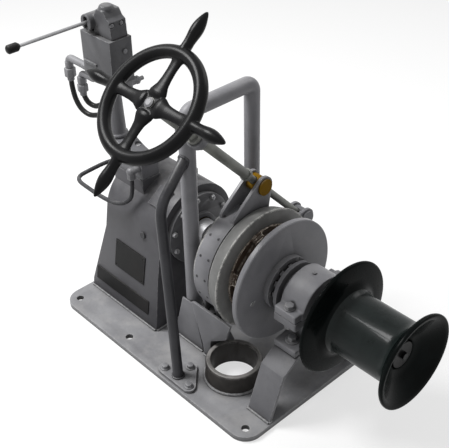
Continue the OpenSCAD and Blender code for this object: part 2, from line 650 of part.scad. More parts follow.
// Trunnions across the band ends, bored for the spindle with room for the band to swing
module along_spindle(s = 0) translate([band_x, -hub_y, hub_z]) rotate([-90 - spin_tilt, 0, 0])
    translate([0, 0, s])
    children();
swing_fit = 1.8;
module trunnion(p, s) color(brass) difference() {
    translate([0, p[0], p[1]]) along_x(band_x0 - 7) cylinder(r = pin_r, h = band_w + 14);
    along_spindle(s - 60) cylinder(d = thread_d + 2 * swing_fit, h = 120);
}
module trunnion_front() trunnion(tr_a, trunnion_a);
module trunnion_rear() trunnion(tr_b, trunnion_b);

// Bracket that holds the hinge pin, with the plate in front of the drum
bracket_w = band_w - 4 * ear_t - 4;
bracket_y = 162;
module anchor_bracket() color(grey) difference() {
    union() {
        along_x(band_x - bracket_w / 2) linear_extrude(bracket_w) {
            polygon([[-bracket_y - 4, base_t], [-60, base_t], [-60, base_t + 20],
                hinge + anchor_lug * [0.9, -0.43],
                hinge + anchor_lug * [-0.4, 0.9], [-bracket_y, 205], [-bracket_y - 4, 205]]);
            translate(hinge) circle(r = anchor_lug - 1.5);
        }
        translate([0, -bracket_y, 0]) rotate([90, 0, 0]) linear_extrude(8)
            polygon([[100, base_t], [96, 60], [46, 212], [56, 218], [228, 218], [206, 150], [134, 98],
                [130, base_t]]);
    }
    translate([0, hinge[0], hinge[1]]) along_x(0) cylinder(d = anchor_d + 2 * seat, h = 300);
}
module anchor_pin() color(steel) translate([0, hinge[0], hinge[1]]) {
    along_x(band_x0 - 4) cylinder(d = anchor_d, h = band_w + 8);
    for (x = [band_x0 - 7, band_x0 + band_w + 1]) along_x(x) cylinder(d = anchor_d + 7, h = 6);
}

// Tube frame over the brake, and the shoes at its feet
module frame_bars(r) {
    for (s = [-1, 1]) {
        translate([frame_x, s * frame_y, base_t]) cylinder(r = r, h = frame_z - base_t);
        translate([frame_x, s * frame_y, frame_z]) sphere(r = r);
    }
    translate([frame_x, frame_y, frame_z]) rotate([90, 0, 0]) cylinder(r = r, h = 2 * frame_y);
}
module tube_frame() color(grey) difference() {
    frame_bars(tube_d / 2);
    frame_bars(tube_d / 2 - tube_t);
}
module frame_shoes() color(grey) for (s = [0, 1]) mirror([0, s, 0])
    translate([frame_x, -frame_y - tube_d / 2 - seat, 0]) rotate([90, 0, 0]) linear_extrude(5)
        polygon([[-69, base_t], [69, base_t], [66, base_t + 24], [24, 200], [-24, 200], [-66, base_t + 24]]);

// Bent stay from the deck to the front leg, on a three bolt flange
stay_d = 33.7;
stay_bend = 90;
stay_a = [stay_foot[0], stay_foot[1], base_t + 5];
stay_b = [47, -271, 632];
stay_c = [frame_x, -frame_y, 748];
dir_a = unit(stay_b - stay_a);
dir_b = unit(stay_c - stay_b);
stay_turn = acos(dir_a * dir_b);
stay_over = 1;
stay_cut = stay_bend * tan(stay_turn / 2);
side_v = unit(dir_b - (dir_b * dir_a) * dir_a);
module frame_of(o, x, y) let(z = cross(x, y)) multmatrix([[x[0], y[0], z[0], o[0]], [x[1], y[1], z[1], o[1]],
    [x[2], y[2], z[2], o[2]], [0, 0, 0, 1]]) children();
module stay_rod(r) {
    frame_of(stay_a, side_v, dir_a) rotate([-90, 0, 0]) cylinder(r = r, h = norm(stay_b - stay_a) - stay_cut);
    // The bend is a hair thinner and reaches a little into both straight pieces
    frame_of(stay_b - stay_cut * dir_a + stay_bend * side_v, side_v, dir_a)
        rotate([0, 0, 180 - stay_turn - stay_over]) rotate_extrude(angle = stay_turn + 2 * stay_over)
            translate([stay_bend, 0]) circle(r = r - 0.04);
    frame_of(stay_b + stay_cut * dir_b, cross(dir_b, cross(side_v, dir_a)), dir_b) rotate([-90, 0, 0])
        cylinder(r = r, h = norm(stay_c - stay_b) - stay_cut);
}
module bent_stay() color(grey) {
    difference() {
        stay_rod(stay_d / 2);
        translate([frame_x, -frame_y, 600]) cylinder(d = tube_d + 2 * seat, h = 300);
    }
    difference() {
        translate([stay_foot[0], stay_foot[1], base_t]) linear_extrude(10 + eps) {
            for (k = [0:2]) link(stay_bolt_at[k], 22, stay_bolt_at[(k + 1) % 3], 22);
            polygon(stay_bolt_at);
        }
        for (p = stay_bolt_at) translate([stay_foot[0] + p[0], stay_foot[1] + p[1], 0])
            cylinder(d = stay_bolt_d + 2 * bolt_fit, h = 60);
    }
}
module stay_bolts() color(steel) for (p = stay_bolt_at)
    translate([stay_foot[0] + p[0], stay_foot[1] + p[1], base_t + 10 + seat]) bolt(stay_bolt_d, 24, 26, 30);

// Bearing arm that carries the spindle on the front leg
bearing_s = 225;
lug_r = 31;
lug_w = 26;
arm_z = hub_z - bearing_s * sin(spin_tilt);
module spindle_bearing() color(grey) difference() {
    union() {
        along_spindle(bearing_s - lug_w / 2) cylinder(r = lug_r, h = lug_w);
        translate([0, 0, arm_z - 30]) linear_extrude(28)
            link([frame_x, -frame_y], 14, [band_x - 36, bearing_s * cos(spin_tilt) - hub_y + 4], 10);
        translate([frame_x, -frame_y, arm_z - 43]) cylinder(r = tube_d / 2 + 8, h = 42);
    }
    along_spindle(bearing_s - 80) cylinder(r = spindle_d / 2 + run_fit, h = 160);
    translate([frame_x, -frame_y, arm_z - 60]) cylinder(r = tube_d / 2 + seat, h = 120);
}
module brake_spindle() color(steel) {
    along_spindle(-hub_top) cylinder(d = spindle_d, h = 502 + hub_top);
    along_spindle(500) cylinder(d = thread_d, h = 430);
    for (s = [bearing_s - lug_w / 2 - 13, bearing_s + lug_w / 2 + part_gap]) along_spindle(s)
        cylinder(d = spindle_d + 16, h = 12);
    along_spindle(494) cylinder(d = spindle_d + 8, h = 10);
}

// Handwheel with four handles
module on_wheel() translate([band_x, -hub_y, hub_z]) rotate([90 - spin_tilt, 0, 0]) children();
rim_mid = rim_r - rim_t / 2;
hub_top = 8;
arm_pts = [[17, 0], [17, hub_top], [34, 15], [rim_mid - 30, 11], [rim_mid + 8, 12], [rim_r + 10, 14], [rim_r + 34, 19],
    [rim_r + 56, 20], [tip_r - 28, 15.5], [tip_r - 10, 8], [tip_r, 1.5], [tip_r, 0]];
module handwheel() color(black) on_wheel() difference() {
    union() {
        rotate_extrude() translate([rim_mid, 0]) circle(d = rim_t);
        translate([0, 0, -18]) cylinder(r = 30, h = 18 + hub_top);
        for (k = [0:3]) rotate([0, 0, 90 * k]) rotate([0, 90, 0]) rotate_extrude()
            polygon([for (p = arm_pts) [p[1], p[0]]]);
    }
    translate([0, 0, -60]) cylinder(r = spindle_d / 2 + seat, h = 120);
}
module wheel_nut() color(steel) on_wheel() {
    translate([0, 0, hub_top + seat]) cylinder(r = 14, h = 4);
    translate([0, 0, hub_top + 4]) cylinder(r1 = 14, r2 = 8, h = 3, $fn = 96);
}

// Bent plate trestle under the outer bearing
post_x0 = post_x - post_w / 2;
trestle_pts = [[-232, base_t], [-174, 172], [-109, 216], [109, 216], [174, 172], [232, base_t]];
trestle_in = [[232 - 12, base_t], [174 - 9, 166], [109 - 3, 206], [3 - 109, 206], [9 - 174, 166],
    [12 - 232, base_t]];
seat_z = 216;
foot_bolt_y = 88;
cap_bolt_y = 106;
lug_t = 26;
module trestle() color(grey) difference() {
    along_x(post_x0) linear_extrude(post_w) polygon(concat(trestle_pts, trestle_in));
    for (s = [-1, 1]) translate([post_x, s * foot_bolt_y, seat_z - 30]) cylinder(d = 19, h = 60);
}

// Plummer block with a split cap
base_half = [[-124, 0], [-124, 22], [-66, 30], [-60, 70], [-76, 104], [-127, 104], [-127, 134]];
function both_sides(p) = concat(p, [for (i = [len(p) - 1:-1:0]) [-p[i][0], p[i][1]]]);
module bearing_base() color(grey) difference() {
    translate([0, 0, seat_z + seat]) along_x(post_x0 + 2) linear_extrude(post_w - 4)
        polygon(both_sides(base_half));
    on_shaft(post_x0 - 1) cylinder(r = 46, h = post_w + 2);
    for (s = [-1, 1]) {
        translate([post_x, s * foot_bolt_y, seat_z - 10]) cylinder(d = 19, h = 60);
        translate([post_x, s * foot_bolt_y, seat_z + 24]) cylinder(d = 50, h = 22);
        translate([post_x, s * cap_bolt_y, seat_z + 60]) cylinder(d = 19, h = 90);
    }
}
module bearing_cap() color(grey) difference() {
    union() {
        intersection() {
            on_shaft(post_x0) cylinder(r = cap_r, h = post_w);
            translate([post_x0, -150, shaft_z + seat]) cube([post_w, 300, 200]);
        }
        for (s = [-1, 1]) translate([post_x0 + 4, s * 94 - 33, shaft_z + seat]) cube([post_w - 8, 66, lug_t]);
    }
    on_shaft(post_x0 - 1) cylinder(r = 46, h = post_w + 2);
    for (s = [-1, 1]) translate([post_x, s * cap_bolt_y, shaft_z - 1]) cylinder(d = 19, h = 60);
    // Spot faces for the washers of the cap bolts
    for (s = [-1, 1]) translate([post_x, s * cap_bolt_y, shaft_z + lug_t + seat]) cylinder(d = 38, h = 60);
    translate([post_x, 0, shaft_z + 40]) cylinder(d = 8, h = 90);
}
module bearing_bush() color(brass) on_shaft(post_x0) ring(46 - seat, shaft_d / 2 + run_fit, post_w);
module bearing_bolts() color(steel) {
    for (s = [-1, 1]) {
        translate([post_x, s * foot_bolt_y, seat_z + 24 + seat]) bolt(18, 28, 44, 46);
        translate([post_x, s * foot_bolt_y, seat_z - 10 - 18]) cylinder(d = 30, h = 18 - 2 * seat, $fn = 6);
        translate([post_x, s * cap_bolt_y, shaft_z + lug_t + 2 * seat]) bolt(18, 29, 76, 34);
        translate([post_x, s * cap_bolt_y, shaft_z - 44]) cylinder(d = 29, h = 14 - seat, $fn = 6);
    }
    translate([post_x, 0, shaft_z + cap_r - 12]) cylinder(d = 7.8, h = 14);
    translate([post_x, 0, shaft_z + cap_r + 2 * seat]) cylinder(d = 12, h = 4);
}

// Warping head with wide fillets into both flanges
function arc_pts(c, r, a0, a1, n = 8) = [for (k = [0:n]) let(a = a0 + (a1 - a0) * k / n) c + r * [cos(a),
    sin(a)]];
flange_in_x = 530;
head_pts = concat(
    [[head_x0, shaft_d / 2 + seat], [head_x0, 62], [flange_in_x - 16, 66], [flange_in_x - 6, 120],
        [flange_in_x - 4, head_r1 - 5]],
    arc_pts([flange_in_x + 2, head_r1 - 6], 6, 180, 0, 6),
    [[flange_in_x + 14, 132]],
    arc_pts([flange_in_x + 50, barrel_r + 36], 36, 182, 270, 6),
    arc_pts([head_x1 - 64, barrel_r + 40], 40, -90, -22, 6),
    arc_pts([head_x1 - 9, head_r2 - 9], 9, 150, 0, 6),
    [[head_x1 - 4, head_r2 - 14], [head_x1 - 44, 64], [head_x1 - 49, 46], [head_x1 - 58, 44],
        [head_x1 - 58, shaft_d / 2 + seat]]);
module warping_head() color(glossy) difference() {
    turned(head_pts);
    on_shaft(head_x0 - 1) translate([0, -key_w / 2 , 0]) cube([shaft_d / 2 + 5.4, key_w, 152]);
}
module head_cap() color(dark) {
    on_shaft(head_x1 - 58 + seat) cylinder(r = 42, h = 10);
    on_shaft(head_x1 - 48) cylinder(d = 24, h = 10, $fn = 6);
    on_shaft(head_x1 - 90) cylinder(d = 15.8, h = 33);
}

// Stand and block of the control valve
stand = [-410, -73];
block_z = valve_z - valve_h;
block_x = -335 - valve_l;
block_y = -40 - valve_w;
post_r = [30, 21];
post_h = block_z - plinth_z - 12 - seat;
module valve_stand() color(dark) {
    translate([stand[0], stand[1], plinth_z + seat]) cylinder(r = 36, h = 12);
    translate([stand[0], stand[1], plinth_z + 12]) cylinder(r1 = post_r[0], r2 = post_r[1], h = post_h,
        $fn = 96);
}
spool_x = -440;
port_x = [-450, -370];
port_z = 868;
spool_y = -84;
spool_d = 20;
module valve_block() color(grey) difference() {
    union() {
        translate([block_x, block_y, block_z]) cube([valve_l, valve_w, valve_h]);
        translate([block_x + 8, block_y - 5, block_z + 46]) cube([66, 6, 9]);
    }
    translate([spool_x, spool_y, block_z + 20]) cylinder(d = spool_d + 2 * run_fit, h = valve_h);
    translate([block_x + valve_l - 14, -70, 936]) rotate([0, 90, 0]) cylinder(d = 15, h = 20);
    // Pressure and return ports at the rear
    for (x = port_x) translate([x, block_y + valve_w - 22, port_z]) rotate([-90, 0, 0]) cylinder(d = 18,
        h = 30);
}
boss_z = 1016;
boss_r = 26;
pivot_y = -102;
pivot_d = 7;
screw_y = [-102, -66];
// Bonnet over the spool end, hollow for the lever
module valve_bonnet() color(grey) difference() {
    union() {
        translate([0, -48, 0]) rotate([90, 0, 0]) linear_extrude(62) polygon([[-480, valve_z + seat],
            [-341, valve_z + seat], [-345, 1034], [-360, 1042], [-374, 1062], [-410, 1062], [-424, 1040],
            [-464, 1034], [-480, 1018]]);
        translate([spool_x, -132, boss_z]) rotate([-90, 0, 0]) cylinder(r = boss_r, h = 60);
        translate([-392, -84, 1030]) cylinder(r = 24, h = 36);
        translate([-392, -84, 1066]) cylinder(r1 = 24, r2 = 19, h = 8, $fn = 96);
    }
    translate([spool_x - 9, -200, boss_z - 36]) cube([18, 132, 54]);
    translate([spool_x - 14, spool_y - 14, valve_z - 1]) cube([28, 28, 52]);
    for (y = screw_y) translate([-349, y, 1024]) rotate([0, 90, 0]) cylinder(d = 18, h = 30);
    for (y = screw_y) translate([-364, y, 1024]) rotate([0, 90, 0]) cylinder(d = 9, h = 20);
    translate([spool_x - 60, pivot_y, boss_z]) rotate([0, 90, 0]) cylinder(d = pivot_d + 2 * seat, h = 84);
}
module bonnet_screws() color(steel) {
    for (y = screw_y) translate([-349, y, 1024]) rotate([0, 90, 0]) bolt(8, 15, 12);
    translate([block_x + valve_l - 13, -70, 936]) rotate([0, 90, 0]) cylinder(d = 14.6, h = 18);
}
module lever_pin() color(steel) translate([spool_x - 24, pivot_y, boss_z]) rotate([0, 90, 0])
    cylinder(d = pivot_d, h = 47.5);
// Spool with the fork slot for the lever's inner end
module valve_spool() color(steel) difference() {
    translate([spool_x, spool_y, block_z + 50]) cylinder(d = spool_d, h = boss_z - 2 - block_z - 50);
    translate([spool_x - 20, spool_y - 20, boss_z - 25]) cube([40, 26, 17]);
}
module valve_lever() color(steel) difference() {
    union() {
        translate([spool_x - 8, pivot_y, boss_z]) rotate([0, 90, 0]) cylinder(r = 7.5, h = 16);
        translate([spool_x, pivot_y, boss_z]) rotate([90, 0, 0]) cylinder(d = lever_d, h = lever_l - 12);
        translate([spool_x - 4, pivot_y - 5, boss_z - 19]) cube([8, 10, 20]);
        translate([spool_x - 4, pivot_y - 5, boss_z - 20]) cube([8, 20, 8]);
    }
    translate([spool_x - 20, pivot_y, boss_z]) rotate([0, 90, 0]) cylinder(d = pivot_d + 2 * run_fit, h = 40);
}
module lever_knob() color(black) translate([spool_x, pivot_y - lever_l + 22, boss_z]) rotate([90, 0, 0])
    difference() {
    union() {
        cylinder(r1 = 10, r2 = knob_d / 2, h = 8, $fn = 96);
        translate([0, 0, 8]) cylinder(d = knob_d, h = 30);
        translate([0, 0, 38]) cylinder(r1 = knob_d / 2, r2 = 11, h = 6, $fn = 96);
    }
    translate([0, 0, -1]) cylinder(d = lever_d + 2 * seat, h = 12);
}
module relief_valve() color(steel) translate([block_x + valve_l - 16, block_y + valve_w - 8, block_z - 14]) {
    translate([-14, -30, -14]) cube([28, 30, 28 - seat]);
    rotate([-90, 0, 0]) {
        cylinder(r = 12, h = 24);
        translate([0, 0, 24]) cylinder(r = 14, h = 10, $fn = 6);
        translate([0, 0, 34]) cylinder(r = 7, h = 18);
    }
}

// Fittings, hoses and pipes along their hand chosen routes
hose_d = 18;
pipe_d = 15;
upper_y = -106;
supply_route = [[-603, -106, 796], [-603, -106, 760], [-600, -106, 724], [-590, -105, 688], [-568, -102, 659],
    [-536, -95, 646], [-504, -86, 652], [-476, -80, 664], [-450, -80, 664]];
return_route = [[-547, -100, 770], [-547, -100, 742], [-545, -99, 716], [-530, -95, 694], [-506, -86, 686],
    [-478, -80, 698], [-450, -80, 698]];
motor_route_a = [[-265, -138, 542], [-265, -138, 524], [-264, -139, 506], [-262, -143, 484],
    [-266, -149, 458], [-284, -163, 438], [-320, -180, 430], [-380, -188, 430], [-450, -188, 430],
    [-506, -184, 430], [-534, -164, 430], [-541, -120, 430], [-545, -40, 428], [-546, 10, 416],
    [-546, 36, 386], [-546, 44, 362], [-546, 45, 340], [-546, 45, 305]];
motor_route_b = [[-546, 81, 305], [-546, 81, 335], [-546, 80, 358], [-542, 70, 404], [-526, 36, 448],
    [-500, -16, 494], [-484, -54, 527], [-480, -62, 549], [-480, -62, 561], [-480, -62, 577]];
module hose_fittings() color(steel) difference() {
    union() {
        // Upper elbow out of the block
        translate([-603, upper_y, 840]) rotate([0, 90, 0]) cylinder(r = 11, h = 603 + block_x - seat);
        translate([-603, upper_y, 840]) sphere(r = 19);
        translate([-603, upper_y, 770]) cylinder(r = 15, h = 70);
        translate([-603, upper_y, 768]) cylinder(r = 20, h = 34, $fn = 6);
        translate([-512, upper_y, 840]) rotate([0, 90, 0]) cylinder(r = 14, h = 20, $fn = 6);
        // Lower elbow out of the block's underside
        translate([-547, -100, 800]) sphere(r = 15);
        translate([-547, -100, 800]) rotate([0, 90, 0]) cylinder(r = 10, h = 77);
        translate([-470, -100, 800]) sphere(r = 12);
        translate([-470, -100, 800]) cylinder(r = 10, h = block_z - 800 - seat);
        translate([-547, -100, 736]) cylinder(r = 12, h = 64);
        translate([-547, -100, 762]) cylinder(r = 16, h = 25, $fn = 6);
        translate([-547, -100, 732]) cylinder(r = 19, h = 28, $fn = 6);
    }
    translate([-603, upper_y, 760]) cylinder(d = hose_d + 1.2, h = 40);
    translate([-547, -100, 725]) cylinder(d = hose_d + 1.2, h = 50);
}
module supply_hose() color(black) hose(smooth(supply_route, 3), hose_d, [0, 1, 0]);
module return_hose() color(black) hose(smooth(return_route, 3), hose_d, [0, 1, 0]);
module motor_pipes() color(dark) {
    hose(smooth(motor_route_a, 3), pipe_d, [1, 0, 0]);
    hose(smooth(motor_route_b, 3), pipe_d, [1, 0, 0]);
}
// Nuts and elbows at the far ends of the hoses and pipes
module pipe_nuts() color(steel) difference() {
    union() {
        for (z = [664, 698]) translate([-458, -80, z]) rotate([0, 90, 0]) cylinder(r = 15, h = 26, $fn = 6);
        translate([-265, plinth_at[1] - plinth[1] / 2 - seat, pipe_z]) rotate([90, 0, 0])
            cylinder(r = 12, h = 32);
        translate([-265, -138, pipe_z]) sphere(r = 15);
        translate([-265, -138, pipe_z - 26]) cylinder(r = 14, h = 22, $fn = 6);
        translate([-480, -62, 589]) sphere(r = 15);
        translate([-480, -62, 589]) rotate([0, 90, 0]) cylinder(r = 11, h = 23 - seat);
        translate([-480, -62, 563]) cylinder(r = 14, h = 22, $fn = 6);
        for (y = [45, 81]) translate([-546, y, pinion_z + motor_r + 20 + seat]) cylinder(r = 15, h = 14,
            $fn = 6);
    }
    for (z = [664, 698]) translate([-462, -80, z]) rotate([0, 90, 0]) cylinder(d = hose_d + 1.2, h = 13);
    translate([stand[0], stand[1], plinth_z]) cylinder(r = 36 + seat, h = 12 + 2 * seat);
    translate([stand[0], stand[1], plinth_z + 12])
        cylinder(r1 = post_r[0] + seat, r2 = post_r[1] + seat, h = post_h, $fn = 96);
    translate([-265, -138, pipe_z - 34]) cylinder(d = pipe_d + 1.2, h = 24);
    translate([-480, -62, 557]) cylinder(d = pipe_d + 1.2, h = 24);
    for (y = [45, 81]) translate([-546, y, 290]) cylinder(d = pipe_d + 1.2, h = 60);
}

deck_plate();
chain_pipe();
gear_housing();
shaft_cover();
case_bolts();
case_end_cap();
case_fittings();
case_bush();
name_plate();
valve_plinth();
main_shaft();
shaft_keys();
main_gear();
hydraulic_motor();
pinion();
drum_bushes();
brake_drum();
chain_wheel();
outer_cheek();
cheek_bolts();
clutch_ring();
clutch_sleeve();
band_front();
lining_front();
band_rear();
lining_rear();
trunnion_front();
trunnion_rear();
anchor_bracket();
anchor_pin();
tube_frame();
frame_shoes();
bent_stay();
stay_bolts();
spindle_bearing();
brake_spindle();
handwheel();
wheel_nut();
trestle();
bearing_base();
bearing_cap();
bearing_bush();
bearing_bolts();
warping_head();
head_cap();
valve_stand();
valve_block();
valve_bonnet();
bonnet_screws();
lever_pin();
valve_spool();
valve_lever();
lever_knob();
relief_valve();
hose_fittings();
supply_hose();
return_hose();
motor_pipes();
pipe_nuts();
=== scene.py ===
"""Looks of a hydraulic anchor winch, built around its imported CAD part.

Sizes are in millimetres in the part's own frame: +X runs along the main shaft towards the
warping head, -Y towards the operator and +Z up. Every mesh is scaled to metres once.
"""

import json
import logging
import math
from dataclasses import dataclass
from enum import Enum
from typing import Callable, Sequence

import bmesh
import bpy
from mathutils import Matrix, Vector

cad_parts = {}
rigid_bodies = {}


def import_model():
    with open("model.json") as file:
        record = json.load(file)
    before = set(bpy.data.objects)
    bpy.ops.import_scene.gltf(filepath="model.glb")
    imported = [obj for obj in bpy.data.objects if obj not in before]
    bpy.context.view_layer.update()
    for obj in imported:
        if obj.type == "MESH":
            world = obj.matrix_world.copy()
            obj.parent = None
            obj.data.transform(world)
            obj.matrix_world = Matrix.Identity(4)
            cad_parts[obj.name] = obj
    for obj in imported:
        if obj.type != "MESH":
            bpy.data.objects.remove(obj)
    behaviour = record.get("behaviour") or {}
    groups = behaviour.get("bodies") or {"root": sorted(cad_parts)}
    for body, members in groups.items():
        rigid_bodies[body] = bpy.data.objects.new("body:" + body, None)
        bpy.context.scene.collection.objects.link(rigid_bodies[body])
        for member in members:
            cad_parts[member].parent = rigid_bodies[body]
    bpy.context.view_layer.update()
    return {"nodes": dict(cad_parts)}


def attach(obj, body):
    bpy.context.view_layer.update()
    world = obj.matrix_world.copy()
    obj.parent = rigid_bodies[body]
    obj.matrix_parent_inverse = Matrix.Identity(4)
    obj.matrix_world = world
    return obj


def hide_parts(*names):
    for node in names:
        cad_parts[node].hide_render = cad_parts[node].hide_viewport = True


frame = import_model()
LOG = logging.getLogger("winch")

Colour = tuple[float, float, float]
Point = tuple[float, float, float]
Pair = tuple[float, float]
Profile = Sequence[tuple[float, ...]]
Node = bpy.types.Node
Socket = bpy.types.NodeSocket
Tree = bpy.types.NodeTree
Shape = bmesh.types.BMesh
Piece = bpy.types.Object

MM = 0.001
TINY = 1e-6
MERGE = 0.001
CAD_MERGE = 0.005
FLAT = math.radians(1.0)
SHAFT_Z = 350.0
X_AXIS: Point = (1.0, 0.0, 0.0)
Y_AXIS: Point = (0.0, 1.0, 0.0)
Z_AXIS: Point = (0.0, 0.0, 1.0)
WHITE: Colour = (1.0, 1.0, 1.0)


class Body(str, Enum):
    """The CAD bodies that pieces ride on."""

    FRAME = "frame"
    SHAFT = "shaft"
    DRUM = "chain_wheel_unit"
    FRONT_BAND = "front_band"
    REAR_BAND = "rear_band"
    WHEEL = "brake_wheel"
    LEVER = "control_lever"


class Slot(str, Enum):
    """The record's material slots."""

    GREY = "grey_paint"
    DARK = "dark_paint"
    BLACK = "black_paint"
    GREEN = "gloss_green"
    STEEL = "bare_steel"
    IRON = "worn_iron"
    HOSE = "hose_rubber"
    KNOB = "knob"


class Graph:
    """Adds and joins the nodes of one node tree, laid out in rows."""

    ROW = 12
    SPACING = (180, -220)

    def __init__(self, tree: Tree) -> None:
        """Starts on a tree."""
        self.tree = tree

    @classmethod
    def blank(cls, owner: bpy.types.Material | bpy.types.World) -> "Graph":
        """Empties a material or a world and starts on its tree.

        Args:
            owner: the material or the world.

        Returns:
            The graph.
        """
        owner.use_nodes = True
        owner.node_tree.nodes.clear()
        return cls(owner.node_tree)

    def node(self, kind: str, **settings: object) -> Node:
        """Adds a node.

        Args:
            kind: its type, without the ShaderNode at its front.
            settings: the node's own properties.

        Returns:
            The new node.
        """
        made = self.tree.nodes.new(kind if kind.startswith("NodeGroup") else "ShaderNode" + kind)
        row, column = divmod(len(self.tree.nodes), self.ROW)
        made.location = (self.SPACING[0] * column, self.SPACING[1] * row)
        for key, value in settings.items():
            setattr(made, key, value)
        return made

    def feed(self, socket: Socket, value: object) -> None:
        """Joins a socket to another, or sets its value.

        Args:
            socket: the input.
            value: an output socket, a number or a colour.
        """
        if isinstance(value, Socket):
            self.tree.links.new(value, socket)
        elif isinstance(value, tuple):
            socket.default_value = (*value, 1.0)
        else:
            socket.default_value = value

    def wire(
        self, kind: str, inputs: dict[str | int, object], output: str | int = 0, **settings: object,
    ) -> Socket:
        """Adds a node and feeds its inputs.

        Args:
            kind: the node's type, as in node.
            inputs: the names or places of its inputs, and what each gets.
            output: the name or place of the output that is wanted.
            settings: the node's own properties.

        Returns:
            The wanted output.
        """
        made = self.node(kind, **settings)
        for key, value in inputs.items():
            self.feed(made.inputs[key], value)
        return made.outputs[output]

    def math(self, operation: str, a: object, b: object, clamp: bool = False) -> Socket:
        """Works one sum out of two values."""
        return self.wire("Math", {0: a, 1: b}, operation=operation, use_clamp=clamp)

    def ramp(self, value: object, stretch: Pair, result: Pair = (0.0, 1.0)) -> Socket:
        """Maps a value smoothly from one stretch to another."""
        inputs = dict(enumerate((value, *stretch, *result)))
        return self.wire("MapRange", inputs, interpolation_type="SMOOTHSTEP")

    def mix(self, factor: object, a: object, b: object) -> Socket:
        """Mixes two colours, whose sockets come after those for numbers and vectors."""
        return self.wire("Mix", {0: factor, 6: a, 7: b}, 2, data_type="RGBA")

    def noise(self, vector: object, scale: object, detail: float, rough: float, warp: float = 0.0) -> Socket:
        """Reads a noise texture."""
        inputs = {"Vector": vector, "Scale": scale, "Detail": detail, "Roughness": rough, "Distortion": warp}
        return self.wire("TexNoise", inputs, "Fac")

    def switch(self, out: str, hidden: Socket, shown: Socket) -> None:
        """Ends the tree in one shader for what the camera sees and one for all else.

        Args:
            out: the type of the output node.
            hidden: the shader that only lights.
            shown: the shader that is seen, also in reflections.
        """
        path = self.node("LightPath").outputs
        seen = self.math("MAXIMUM", path["Is Camera Ray"], path["Is Transmission Ray"])
        seen = self.math("MAXIMUM", seen, path["Is Glossy Ray"])
        choice = self.wire("MixShader", {0: seen, 1: hidden, 2: shown})
        self.feed(self.node(out).inputs["Surface"], choice)


